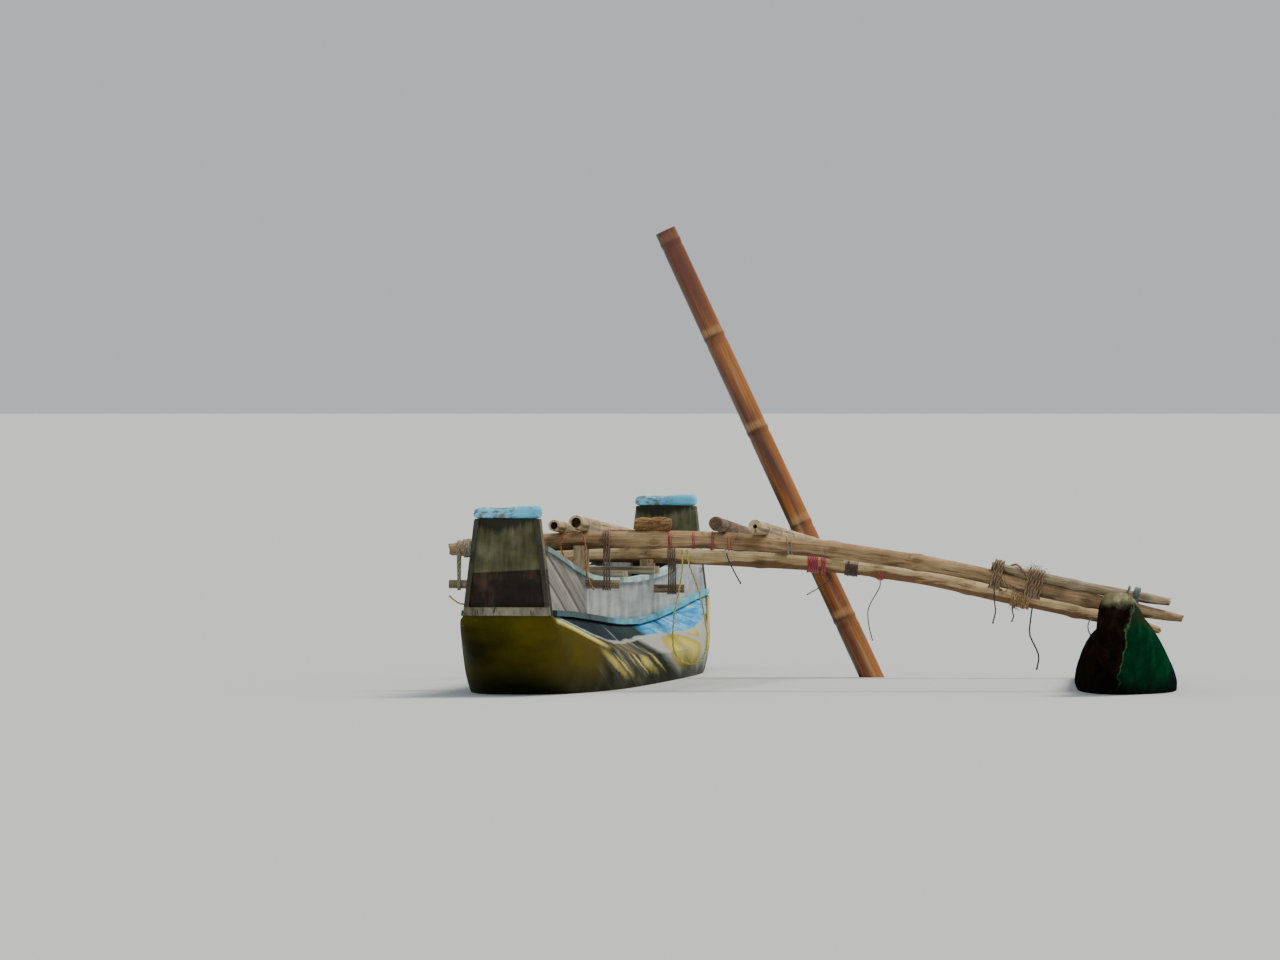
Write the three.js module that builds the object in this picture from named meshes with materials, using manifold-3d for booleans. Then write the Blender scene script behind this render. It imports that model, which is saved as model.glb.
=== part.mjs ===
// Outrigger canoe, afloat, with two lashed booms, a log float, a pole platform and a steering pole.
// Millimetres, +Z up. The origin is on the hull's centreline, midway along it, at the waterline.
// The bow points along -Y and the float lies on the +X side.
import * as THREE from 'three'
import { mergeVertices } from 'three/addons/utils/BufferGeometryUtils.js'
import Module from 'manifold-3d'

const wasm = await Module()
wasm.setup()

// Driving dimensions
const GAP = 0.4
const PLANK_GAP = 1.2
const HULL_LENGTH = 4800
const HALF_LENGTH = HULL_LENGTH / 2
const HULL_WALL = 18
const KEEL_WALL = 26
const STEM_LENGTH = 150
const BOTTOM_SPLIT_Y = 1260
const STRAKE_THICKNESS = 14
const GUNWALE_WIDTH = 30
const GUNWALE_HEIGHT = 16
const RAIL_WIDTH = 13
const RAIL_HEIGHT = 18

const BLOCK_DEPTH = 60
const BLOCK_TOP_Z = 556
const BLOCK_TOP_HALF = 102
const BLOCK_FOOT_Z = 254
const BLOCK_FOOT_HALF = 138
const CAP_HEIGHT = 40
const CAP_OVERHANG = 4
const CAP_ROUND = 18
const FRAME_WIDTH = 15
const FRAME_FOOT = 26
const FRAME_DEPTH = 11
const FRAME_TOP_DROP = 4

const FRONT_BOOM_Y = -1400
const REAR_BOOM_Y = 600
const CHOCK_X = 123
const CHOCK_LENGTH = 84
const CHOCK_WIDTH = 42
const SEAT_ROOM = 2
const SEAT_DEPTH_SHARE = 0.55
const GROOVE_LENGTH = 700
const FRONT_TIE_Z = 338
const REAR_TIE_Z = 296
const TIE_RADIUS = 14
const TIE_HOLE_ROOM = 1.5
const TIE_PORT_END = -302
const TIE_STARBOARD_END = 246
const ROPE_BUILD = 8
const WRAP_ROOM = 1.6
const SPLICE_ROOM = 4

const FLOAT_TIP = { x: 1941, y: -2150 }
const FLOAT_TOE_IN = THREE.MathUtils.degToRad(5)
const FLOAT_LASHING_WIDTH = 74
const FLOAT_LASHING_DROP = 96
const FLOAT_LASHING_TURN = 24
const SLOT_ROOM = 1.2

const STEERING_LEAN = THREE.MathUtils.degToRad(24.95)
const STEERING_RADIUS = 37
const STEERING_TAPER = 0.0022
const STEERING_ABOVE = 1224
const STEERING_BELOW = 800
const STEERING_BORE = { radius: 25, depth: 40 }
const BAMBOO_NODE_STEP = 345
const BAMBOO_NODE_TOP = 1181
const BAMBOO_NODE_FLARE = 2
const BAMBOO_NODE_REACH = 9
const STEERING_PIVOT = { x: 690, z: 379 }
const GROMMET_BUILD = 7
const GROMMET_WIDTH = 30
const PIVOT_GAP = 1.5

// One row for each hull section, from an end of the hull to its middle; both ends are alike.
// s: distance from the end. The joint is where the side planks stand on the log-like lower hull,
// the ridge is the lower hull's widest line, and the gunwale is the side planks' top edge.
const HULL_COLUMNS = ['s', 'jointZ', 'jointHalf', 'ridgeHalf', 'ridgeZ', 'keelZ', 'gunwaleZ', 'gunwaleHalf']
const HULL_ROWS = [
  [0, 253, 138, 145, 243, 210, 474, 114],
  [80, 251, 139, 157, 235, 142, 468, 116],
  [180, 249, 140, 168, 224, 72, 459, 119],
  [300, 246, 141, 180, 210, 14, 447, 122],
  [500, 241, 142, 200, 184, -60, 425, 127],
  [800, 231, 144, 229, 147, -118, 393, 133],
  [1200, 217, 146, 251, 114, -153, 364, 140],
  [1800, 197, 148, 261, 98, -170, 348, 146],
  [2400, 188, 149, 263, 95, -175, 343, 148],
].map((row) => Object.fromEntries(HULL_COLUMNS.map((column, index) => [column, row[index]])))
const HULL_STATIONS = [0, 40, 90, 150, 220, 300, 400, 520, 680, 880, 1140, 1480, 1900, 2400]
// A section's own end stays this far from the nearest station.
const STATION_ROOM = 5
const BILGE_POWER = 2.6
const BILGE_STEPS = 9
// The bottom starts at this step of the bilge curve.
const BOTTOM_STEP = 6

// One row for each float section. f: distance from the float's near tip along its axis.
// shift: how far the section's middle lies off the axis, because the head bends toward the hull.
const FLOAT_ROWS = [
  { f: 0, shift: -40, topZ: 300, bottomZ: 226, half: 38 },
  { f: 30, shift: -39, topZ: 322, bottomZ: 184, half: 53 },
  { f: 110, shift: -35, topZ: 326, bottomZ: 96, half: 66 },
  { f: 280, shift: -22, topZ: 312, bottomZ: -20, half: 108 },
  { f: 480, shift: -8, topZ: 288, bottomZ: -98, half: 140 },
  { f: 760, shift: 0, topZ: 256, bottomZ: -140, half: 156 },
  { f: 1200, shift: 0, topZ: 214, bottomZ: -158, half: 162 },
  { f: 1800, shift: 0, topZ: 178, bottomZ: -165, half: 162 },
  { f: 2400, shift: 0, topZ: 163, bottomZ: -160, half: 155 },
  { f: 2760, shift: 0, topZ: 160, bottomZ: -132, half: 135 },
  { f: 3050, shift: 0, topZ: 160, bottomZ: -58, half: 92 },
  { f: 3180, shift: 0, topZ: 152, bottomZ: 30, half: 48 },
]
const FLOAT_SIDES = 20
const FLOAT_CROWN_POWER = 1.6
const FLOAT_MIDDLE_SHARE = 0.46

// Poles are drawn through hand-picked centre points, with a radius at each.
const FRONT_BOOM_POINTS = [
  { x: -304, z: 448, r: 22 },
  { x: -120, z: 464, r: 27 },
  { x: 181, z: 479, r: 27 },
  { x: 501, z: 480, r: 26 },
  { x: 822, z: 459, r: 26 },
  { x: 1043, z: 433, r: 25 },
  { x: 1337, z: 385, r: 23 },
  { x: 1623, z: 316, r: 22 },
  { x: 1900, z: 259, r: 20 },
  { x: 2049, z: 231, r: 11 },
]
const FRONT_EXTENSION_POINTS = [
  { x: 1436, z: 399, r: 13 },
  { x: 1623, z: 355, r: 16 },
  { x: 1820, z: 316, r: 15 },
  { x: 2012, z: 283, r: 13 },
]
const REAR_BOOM_POINTS = [
  { x: -300, z: 400, r: 23 },
  { x: 0, z: 409, r: 25 },
  { x: 283, z: 402, r: 25 },
  { x: 715, z: 378, r: 24 },
  { x: 1039, z: 336, r: 24 },
  { x: 1276, z: 283, r: 23 },
  { x: 1453, z: 246, r: 22 },
  { x: 1640, z: 206, r: 21 },
  { x: 1828, z: 161, r: 13 },
]
// The bark-covered log on the front boom: its radius along it.
const CROSS_LOG_Y = -1406
const CROSS_LOG_POINTS = [
  { x: 296, r: 20 },
  { x: 330, r: 23 },
  { x: 372, r: 22 },
  { x: 414, r: 21 },
]
const POLE_SIDES = 10

// Each boom, with the pole lashed on top of it and the height of the tie bar under it.
const BOOMS = {
  front: { y: FRONT_BOOM_Y, points: FRONT_BOOM_POINTS, upper: FRONT_EXTENSION_POINTS, tieZ: FRONT_TIE_Z },
  rear: { y: REAR_BOOM_Y, points: REAR_BOOM_POINTS, tieZ: REAR_TIE_Z },
}

// Lashings that tie a boom down to the tie bar below it, outside the side planks.
const TIE_LASHINGS = [
  { name: 'front_lashing_port', boom: 'front', x: -270, width: 14, build: 5, color: 0xa39a80 },
  { name: 'front_lashing_starboard', boom: 'front', x: 205, width: 30, build: 8, color: 0x9c2a24 },
  { name: 'rear_lashing_port', boom: 'rear', x: -205, width: 34, build: 8, color: 0x9c2a24 },
  { name: 'rear_lashing_starboard', boom: 'rear', x: 205, width: 34, build: 8, color: 0x9c2a24 },
]

// Wraps of rope around a boom, from x0 to x1. The splice wrap also holds the extension on top of it.
const WRAPS = [
  { name: 'front_splice_wrap', boom: 'front', x0: 1448, x1: 1612, build: 9, color: 0x5d4326 },
  { name: 'front_boom_end_wrap', boom: 'front', x0: -258, x1: -212, build: 5, color: 0xa39a80 },
  { name: 'rear_boom_wrap', boom: 'rear', x0: 1336, x1: 1404, build: 7, color: 0x8c5a2c },
  { name: 'boom_grommet', boom: 'rear', x0: 656, x1: 724, build: 7, color: 0xa8261f },
]

// The platform's poles lie fore and aft on the booms. bore: radius of the open end of a bamboo pole.
const PLATFORM_POLES = [
  { name: 'platform_pole_1', frontX: 60, rearX: 58, radius: 19, bore: 13, frontY: -1624, rearY: 842 },
  { name: 'platform_pole_2', frontX: 132, rearX: 130, radius: 24, bore: 17, frontY: -1640, rearY: 790 },
  { name: 'platform_pole_3', frontX: 575, rearX: 582, radius: 23, bore: 0, frontY: -1618, rearY: 619 },
  { name: 'platform_pole_4', frontX: 707, rearX: 775, radius: 22, bore: 8, frontY: -1602, rearY: 617 },
]
const BORE_DEPTH = 90

// Thwarts and seat: planks laid from gunwale to gunwale.
const PLANKS = [
  { name: 'fore_thwart', y: -480, length: 130, overhang: 4, thickness: 20, color: 0x8d9a94 },
  { name: 'aft_thwart', y: 440, length: 170, overhang: 10, thickness: 24, color: 0x9ec4c0 },
  { name: 'seat_plank', y: 1330, length: 240, overhang: 12, thickness: 24, color: 0x7d6f58 },
]

// Free cords. Each lies along hand-picked points from where it is tied to its free or second end.
const CORDS = [
  {
    name: 'yellow_loop',
    diameter: 6,
    color: 0xc9a227,
    points: [
      [466, -1436, 449], [474, -1440, 400], [500, -1440, 330], [522, -1440, 240], [531, -1438, 160],
      [512, -1436, 98], [462, -1434, 88], [424, -1434, 130], [424, -1438, 230], [443, -1442, 330],
      [452, -1442, 400], [449, -1438, 450],
    ],
  },
  {
    name: 'orange_loop',
    diameter: 6,
    color: 0xb5651d,
    points: [
      [73, -1562, 322], [92, -1560, 362], [95, -1560, 400], [80, -1558, 440], [73, -1556, 472],
      [84, -1556, 500], [112, -1556, 507], [141, -1556, 500], [152, -1556, 472], [153, -1557, 436],
      [155, -1558, 402], [159, -1559, 372], [168, -1560, 345], [182, -1562, 322],
    ],
  },
  {
    name: 'black_tail',
    diameter: 6,
    color: 0x1c1b1a,
    points: [[1410, 572, 234], [1406, 562, 196], [1404, 560, 144], [1432, 560, 78], [1426, 562, 28]],
  },
  {
    name: 'dark_red_tail',
    diameter: 4,
    color: 0x5c1f1c,
    points: [[904, 563, 326], [902, 556, 300], [868, 552, 236], [866, 552, 186], [880, 552, 124]],
  },
  {
    name: 'purple_tail',
    diameter: 5,
    color: 0x4b3050,
    points: [[592, -1436, 438], [602, -1442, 412], [620, -1444, 376], [640, -1444, 340]],
  },
  {
    name: 'yellow_tail',
    diameter: 6,
    color: 0xc9a227,
    points: [
      [-214, -1418, 322], [-222, -1422, 296], [-242, -1424, 276], [-270, -1426, 279], [-300, -1428, 302],
    ],
  },
  {
    name: 'grommet_tail',
    diameter: 4,
    color: 0x3a1c1a,
    points: [[716, 562, 352], [736, 558, 344], [735, 556, 326], [702, 554, 301], [660, 554, 276]],
  },
  {
    name: 'short_tail_1',
    diameter: 5,
    color: 0x2a2420,
    points: [[1447, -1441, 352], [1449, -1444, 330], [1450, -1445, 290], [1453, -1446, 253], [1444, -1445, 215]],
  },
  {
    name: 'short_tail_2',
    diameter: 5,
    color: 0x2a2420,
    points: [[1346, 568, 243], [1345, 560, 226], [1349, 559, 206], [1342, 560, 187]],
  },
]
const CORD_SIDES = 8
const CORD_STEP_DIAMETERS = 3

const canoe = new THREE.Group()
canoe.name = 'outrigger_canoe'

// Adds one named piece with its own material.
function addPiece(name, geometry, color, roughness = 0.8, parent = canoe) {
  const material = new THREE.MeshStandardMaterial({ color, roughness, metalness: 0 })
  const mesh = new THREE.Mesh(geometry, material)
  mesh.name = name
  parent.add(mesh)
  return mesh
}

// Turns a closed geometry into a solid for booleans.
function toSolid(geometry) {
  const bare = geometry.clone()
  bare.deleteAttribute('normal')
  bare.deleteAttribute('uv')
  const merged = mergeVertices(bare, 1e-3)
  const mesh = new wasm.Mesh({
    numProp: 3,
    vertProperties: new Float32Array(merged.attributes.position.array),
    triVerts: new Uint32Array(merged.index.array),
  })
  return new wasm.Manifold(mesh)
}

function toGeometry(solid) {
  const mesh = solid.getMesh()
  const geometry = new THREE.BufferGeometry()
  geometry.setAttribute('position', new THREE.BufferAttribute(mesh.vertProperties, mesh.numProp))
  geometry.setIndex(new THREE.BufferAttribute(mesh.triVerts, 1))
  geometry.computeVertexNormals()
  return geometry
}

function cut(geometry, ...cutters) {
  const solid = cutters.reduce((left, cutter) => left.subtract(toSolid(cutter)), toSolid(geometry))
  return toGeometry(solid)
}

// Reads one column of a table at a place between its rows, along a smooth curve through the rows.
function readColumn(rows, along, column, place) {
  const last = rows.length - 1
  const found = rows.findIndex((row) => row[along] >= place)
  const upper = THREE.MathUtils.clamp(found < 0 ? last : found, 1, last)
  const slope = (index) => {
    const before = rows[Math.max(index - 1, 0)]
    const after = rows[Math.min(index + 1, last)]
    return (after[column] - before[column]) / (after[along] - before[along])
  }
  const low = rows[upper - 1]
  const high = rows[upper]
  const span = high[along] - low[along]
  const u = (place - low[along]) / span
  const rise = high[column] - low[column]
  const startSlope = slope(upper - 1) * span
  const endSlope = slope(upper) * span
  return low[column] + u * (startSlope + u * (3 * rise - 2 * startSlope - endSlope)
    + u * u * (startSlope + endSlope - 2 * rise))
}

// Joins rings of equal point counts into one closed body with flat ends.
// Each ring runs clockwise as seen looking along the loft from its first ring to its last.
function loft(rings) {
  const positions = []
  const indices = []
  const sides = rings[0].length
  rings.forEach((ring) => ring.forEach((point) => positions.push(point.x, point.y, point.z)))
  for (let ring = 0; ring < rings.length - 1; ring += 1) {
    for (let side = 0; side < sides; side += 1) {
      const a = ring * sides + side
      const b = ring * sides + ((side + 1) % sides)
      indices.push(a, b, b + sides, a, b + sides, a + sides)
    }
  }
  const endRings = [{ ring: rings[0], first: 0, turn: false }]
  endRings.push({ ring: rings.at(-1), first: (rings.length - 1) * sides, turn: true })
  endRings.forEach(({ ring, first, turn }) => {
    const across = flattenRing(ring)
    THREE.ShapeUtils.triangulateShape(across, []).forEach(([a, b, c]) => {
      indices.push(first + a, first + (turn ? b : c), first + (turn ? c : b))
    })
  })
  const geometry = new THREE.BufferGeometry()
  geometry.setAttribute('position', new THREE.Float32BufferAttribute(positions, 3))
  geometry.setIndex(indices)
  return outward(geometry)
}

// A flat ring's points in its own plane, for triangulating an end face.
function flattenRing(ring) {
  const centre = ring.reduce((sum, point) => sum.add(point), new THREE.Vector3()).divideScalar(ring.length)
  const first = ring[0].clone().sub(centre).normalize()
  const normal = new THREE.Vector3()
  ring.forEach((point, index) => {
    const next = ring[(index + 1) % ring.length]
    normal.add(point.clone().sub(centre).cross(next.clone().sub(centre)))
  })
  const second = normal.normalize().cross(first)
  return ring.map((point) => {
    const offset = point.clone().sub(centre)
    return new THREE.Vector2(offset.dot(first), offset.dot(second))
  })
}

// Turns a closed mesh's faces outward where its enclosed volume comes out negative.
function outward(geometry) {
  const position = geometry.attributes.position
  const index = geometry.index.array
  const [a, b, c] = [new THREE.Vector3(), new THREE.Vector3(), new THREE.Vector3()]
  let volume = 0
  for (let i = 0; i < index.length; i += 3) {
    a.fromBufferAttribute(position, index[i])
    b.fromBufferAttribute(position, index[i + 1])
    c.fromBufferAttribute(position, index[i + 2])
    volume += a.dot(b.cross(c))
  }
  if (volume < 0) {
    for (let i = 0; i < index.length; i += 3) [index[i + 1], index[i + 2]] = [index[i + 2], index[i + 1]]
  }
  geometry.computeVertexNormals()
  return geometry
}

// Hull sections
function hullAt(y) {
  const s = HALF_LENGTH - Math.abs(y)
  const section = {}
  for (const column of HULL_COLUMNS) section[column] = readColumn(HULL_ROWS, 's', column, s)
  return section
}

const stationYs = [
  ...HULL_STATIONS.map((s) => s - HALF_LENGTH),
  ...HULL_STATIONS.slice(0, -1).reverse().map((s) => HALF_LENGTH - s),
]

// The places of the sections of a body that runs along part of the hull.
function stationsFrom(from, to) {
  return [from, ...stationYs.filter((y) => y > from + STATION_ROOM && y < to - STATION_ROOM), to]
}

// The lower hull's bilge curve on one side, from the ridge down to the keel, inset by the wall.
function bilgeCurve(section, wall, keelWall) {
  const ridge = section.ridgeHalf - wall
  const depth = section.keelZ + keelWall - section.ridgeZ
  return Array.from({ length: BILGE_STEPS + 1 }, (_, step) => {
    const turn = (step / BILGE_STEPS) * Math.PI / 2
    const across = step === BILGE_STEPS ? 0 : Math.cos(turn) ** (2 / BILGE_POWER)
    return [ridge * across, section.ridgeZ + depth * Math.sin(turn) ** (2 / BILGE_POWER)]
  })
}

function mirrored(points) {
  return points.map(([x, z]) => [-x, z]).reverse()
}

// A body along part of the hull, with its section's corners given by a function of the hull's section.
function alongHull(corners, ys, side = 1) {
  return loft(ys.map((y) => corners(hullAt(y)).map(([x, z]) => new THREE.Vector3(side * x, y, z))))
}

function stemCorners(section) {
  const half = [[section.jointHalf, section.jointZ], ...bilgeCurve(section, 0, 0)]
  return [...half, ...mirrored(half.slice(0, -1))]
}

function shoulderCorners(section) {
  const foot = section.ridgeZ + GAP
  return [
    [section.jointHalf, section.jointZ],
    [section.ridgeHalf, foot],
    [section.ridgeHalf - HULL_WALL, foot],
    [section.jointHalf - HULL_WALL, section.jointZ],
  ]
}

function bilgeCorners(section) {
  const outer = bilgeCurve(section, 0, 0).slice(0, BOTTOM_STEP + 1)
  const inner = bilgeCurve(section, HULL_WALL, KEEL_WALL).slice(0, BOTTOM_STEP + 1)
  return [...outer, ...inner.reverse()]
}

function bottomCorners(section) {
  const inward = ([x, z], index) => [index === 0 ? x - GAP : x, z]
  const outer = bilgeCurve(section, 0, 0).slice(BOTTOM_STEP).map(inward)
  const inner = bilgeCurve(section, HULL_WALL, KEEL_WALL).slice(BOTTOM_STEP).map(inward)
  const inside = [...inner, ...mirrored(inner.slice(0, -1))]
  return [...outer, ...mirrored(outer.slice(0, -1)), ...inside.reverse()]
}

// The log-like lower hull: a solid stem at each end, and a bottom, bilges and shoulders between them
function buildLowerHull() {
  const hollowEnd = HALF_LENGTH - STEM_LENGTH
  const hollowYs = stationsFrom(-hollowEnd, hollowEnd)
  for (const [word, direction] of [['bow', -1], ['stern', 1]]) {
    const ys = stationYs.filter((y) => y * direction > hollowEnd + STATION_ROOM)
    ys.push(direction * (hollowEnd + GAP))
    ys.sort((first, second) => first - second)
    addPiece(`${word}_stem`, alongHull(stemCorners, ys), 0x6b6420, 0.55)
  }
  const bottoms = [
    { word: 'fore', from: -hollowEnd, to: -BOTTOM_SPLIT_Y },
    { word: 'middle', from: GAP - BOTTOM_SPLIT_Y, to: BOTTOM_SPLIT_Y - GAP },
    { word: 'aft', from: BOTTOM_SPLIT_Y, to: hollowEnd },
  ]
  for (const { word, from, to } of bottoms) {
    addPiece(`bottom_${word}`, alongHull(bottomCorners, stationsFrom(from, to)), 0x4a4a22, 0.55)
  }
  for (const [word, side] of [['port', -1], ['starboard', 1]]) {
    addPiece(`bilge_${word}`, alongHull(bilgeCorners, hollowYs, side), 0x8a7a1e, 0.55)
    addPiece(`shoulder_${word}`, alongHull(shoulderCorners, hollowYs, side), 0x4f9fd0, 0.55)
  }
}

const strakeEnd = HALF_LENGTH - BLOCK_DEPTH - GAP
const strakeYs = stationsFrom(-strakeEnd, strakeEnd)

function strakeCorners(section) {
  const foot = section.jointZ + GAP
  return [
    [section.jointHalf, foot],
    [section.gunwaleHalf, section.gunwaleZ - GUNWALE_HEIGHT],
    [section.gunwaleHalf - STRAKE_THICKNESS, section.gunwaleZ - GUNWALE_HEIGHT],
    [section.jointHalf - STRAKE_THICKNESS, foot],
  ]
}

function gunwaleCorners(section) {
  const outer = section.gunwaleHalf + (GUNWALE_WIDTH - STRAKE_THICKNESS) / 2
  const inner = outer - GUNWALE_WIDTH
  const foot = section.gunwaleZ - GUNWALE_HEIGHT + GAP
  return [[outer, foot], [outer, section.gunwaleZ], [inner, section.gunwaleZ], [inner, foot]]
}

// The rail stands outside the side plank, just above the joint, and leans with it.
function railCorners(section) {
  const lean = (section.jointHalf - section.gunwaleHalf) / (section.gunwaleZ - section.jointZ)
  const foot = section.jointZ + GAP
  const top = foot + RAIL_HEIGHT
  const near = section.jointHalf + GAP
  return [
    [near, foot],
    [near + RAIL_WIDTH, foot],
    [near + RAIL_WIDTH - lean * RAIL_HEIGHT, top],
    [near - lean * RAIL_HEIGHT, top],
  ]
}

function buildSides() {
  for (const [word, side] of [['port', -1], ['starboard', 1]]) {
    const tieHoles = Object.values(BOOMS).map((boom) => tieBarSolid(boom, TIE_HOLE_ROOM))
    addPiece(`side_plank_${word}`, cut(alongHull(strakeCorners, strakeYs, side), ...tieHoles), 0x8f9797, 0.7)
    addPiece(`gunwale_${word}`, alongHull(gunwaleCorners, strakeYs, side), 0x9ec4c0, 0.6)
    addPiece(`joint_rail_${word}`, alongHull(railCorners, strakeYs, side), 0x58b5c9, 0.6)
  }
}

// Each end has a board block, its rounded cap and its raised frame, alike at bow and stern.
function blockHalf(z) {
  const share = (z - BLOCK_FOOT_Z) / (BLOCK_TOP_Z - BLOCK_FOOT_Z)
  return THREE.MathUtils.lerp(BLOCK_FOOT_HALF, BLOCK_TOP_HALF, share)
}

function extrudeAlongY(shape, depth) {
  const geometry = new THREE.ExtrudeGeometry(shape, { depth, bevelEnabled: false, curveSegments: 6 })
  geometry.rotateX(Math.PI / 2)
  return geometry
}

function buildEnd(word, direction) {
  const end = new THREE.Group()
  end.rotation.z = direction > 0 ? Math.PI : 0
  canoe.add(end)
  const faceY = -HALF_LENGTH

  const foot = BLOCK_FOOT_Z + GAP
  const board = new THREE.Shape()
  board.moveTo(-blockHalf(foot), foot)
  board.lineTo(blockHalf(foot), foot)
  board.lineTo(BLOCK_TOP_HALF, BLOCK_TOP_Z)
  board.lineTo(-BLOCK_TOP_HALF, BLOCK_TOP_Z)
  const boardGeometry = extrudeAlongY(board, BLOCK_DEPTH)
  boardGeometry.translate(0, faceY + BLOCK_DEPTH, 0)
  addPiece(`${word}_board`, boardGeometry, 0x4a3a2a, 0.75, end)

  const cap = new THREE.Shape()
  const capHalf = BLOCK_TOP_HALF + CAP_OVERHANG
  const capFoot = BLOCK_TOP_Z + GAP
  cap.moveTo(-capHalf, capFoot)
  cap.lineTo(capHalf, capFoot)
  cap.lineTo(capHalf, capFoot + CAP_HEIGHT - CAP_ROUND)
  cap.absarc(capHalf - CAP_ROUND, capFoot + CAP_HEIGHT - CAP_ROUND, CAP_ROUND, 0, Math.PI / 2, false)
  cap.absarc(-capHalf + CAP_ROUND, capFoot + CAP_HEIGHT - CAP_ROUND, CAP_ROUND, Math.PI / 2, Math.PI, false)
  const capGeometry = extrudeAlongY(cap, BLOCK_DEPTH + 2 * CAP_OVERHANG)
  capGeometry.translate(0, faceY + BLOCK_DEPTH + CAP_OVERHANG, 0)
  addPiece(`${word}_cap`, capGeometry, 0x8fb8d0, 0.6, end)

  const frameTop = BLOCK_TOP_Z - FRAME_TOP_DROP
  const frameFoot = foot + FRAME_FOOT
  const frame = new THREE.Shape()
  frame.moveTo(-blockHalf(foot), foot)
  frame.lineTo(blockHalf(foot), foot)
  frame.lineTo(blockHalf(frameTop), frameTop)
  frame.lineTo(blockHalf(frameTop) - FRAME_WIDTH, frameTop)
  frame.lineTo(blockHalf(frameFoot) - FRAME_WIDTH, frameFoot)
  frame.lineTo(-blockHalf(frameFoot) + FRAME_WIDTH, frameFoot)
  frame.lineTo(-blockHalf(frameTop) + FRAME_WIDTH, frameTop)
  frame.lineTo(-blockHalf(frameTop), frameTop)
  const frameGeometry = extrudeAlongY(frame, FRAME_DEPTH)
  frameGeometry.translate(0, faceY - GAP, 0)
  addPiece(`${word}_frame`, frameGeometry, 0xb8b09a, 0.75, end)
}

// Poles and bars
function poleRings(points, placeOf, sides = POLE_SIDES) {
  const curve = new THREE.CatmullRomCurve3(points.map(placeOf))
  const count = points.length * 2 - 1
  return Array.from({ length: count }, (_, index) => {
    const u = index / (count - 1)
    const centre = curve.getPoint(u)
    const tangent = curve.getTangent(u)
    const low = points[Math.floor(index / 2)]
    const high = points[Math.ceil(index / 2)]
    return ringAround(centre, tangent, (low.r + high.r) / 2, sides)
  })
}

// A round ring about a centre, square to a direction that isn't vertical.
function ringAround(centre, direction, radius, sides) {
  const across = new THREE.Vector3(0, 0, 1).cross(direction).normalize()
  const up = direction.clone().cross(across).normalize()
  return Array.from({ length: sides }, (_, side) => {
    const turn = (side / sides) * 2 * Math.PI
    return centre.clone().addScaledVector(across, radius * Math.cos(turn))
      .addScaledVector(up, radius * Math.sin(turn))
  })
}

function boomGeometry(points, y) {
  return loft(poleRings(points, (point) => new THREE.Vector3(point.x, y, point.z)))
}

function tieBarSolid({ y, tieZ }, clearance = 0) {
  const length = TIE_STARBOARD_END - TIE_PORT_END
  const bar = new THREE.CylinderGeometry(TIE_RADIUS + clearance, TIE_RADIUS + clearance, length, 12)
  bar.rotateZ(Math.PI / 2)
  bar.translate((TIE_STARBOARD_END + TIE_PORT_END) / 2, y, tieZ)
  return bar
}

function boomAt(points, x) {
  return { z: readColumn(points, 'x', 'z', x), r: readColumn(points, 'x', 'r', x) }
}

// The boom's rise along X about a place, as an angle.
function boomSlope(points, x, reach = 40) {
  return Math.atan2(boomAt(points, x + reach).z - boomAt(points, x - reach).z, 2 * reach)
}

// A round cutter along a boom, for the seats it lies in.
function boomSeat(points, x, y, room, length) {
  const boom = boomAt(points, x)
  const seat = new THREE.CylinderGeometry(boom.r + room, boom.r + room, length, 20)
  seat.rotateZ(Math.PI / 2)
  seat.rotateY(-boomSlope(points, x))
  seat.translate(x, y, boom.z)
  return seat
}

// Chocks stand on the gunwales, follow their slope and carry the booms in round seats.
function buildChocks() {
  const gunwaleRoom = (section) => [
    [0, 0],
    [0, section.gunwaleZ + GAP],
    [HULL_LENGTH, section.gunwaleZ + GAP],
    [HULL_LENGTH, 0],
  ]
  for (const [boomWord, { y, points }] of Object.entries(BOOMS)) {
    for (const [sideWord, side] of [['port', -1], ['starboard', 1]]) {
      const foot = hullAt(y).gunwaleZ - GUNWALE_HEIGHT
      const boom = boomAt(points, side * CHOCK_X)
      const top = boom.z - boom.r * SEAT_DEPTH_SHARE
      const block = new THREE.BoxGeometry(CHOCK_WIDTH, CHOCK_LENGTH, top - foot)
      block.translate(side * CHOCK_X, y, (top + foot) / 2)
      const seat = boomSeat(points, side * CHOCK_X, y, SEAT_ROOM, 2 * CHOCK_WIDTH)
      const shaped = cut(block, seat, alongHull(gunwaleRoom, strakeYs, side))
      addPiece(`${boomWord}_chock_${sideWord}`, shaped, 0xa98a5c, 0.85)
    }
  }
}

// A rope lashing is one closed band of turns around a boom and the bar or float below it.
function bandShape(upperR, lowerR, drop) {
  const shape = new THREE.Shape()
  const side = Math.asin((upperR - lowerR) / drop)
  shape.absarc(0, 0, upperR, side, Math.PI - side, false)
  shape.absarc(0, -drop, lowerR, Math.PI - side, 2 * Math.PI + side, false)
  shape.closePath()
  return shape
}

// The band stands in a plane across the boom: the shape's first axis runs along Y.
function bandGeometry(upperR, lowerR, drop, build, width, curveSegments = 8) {
  const outer = bandShape(upperR + build, lowerR + build, drop)
  outer.holes.push(bandShape(upperR, lowerR, drop))
  const geometry = new THREE.ExtrudeGeometry(outer, { depth: width, bevelEnabled: false, curveSegments })
  geometry.translate(0, 0, -width / 2)
  geometry.rotateX(Math.PI / 2)
  geometry.rotateZ(Math.PI / 2)
  return geometry
}

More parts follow.
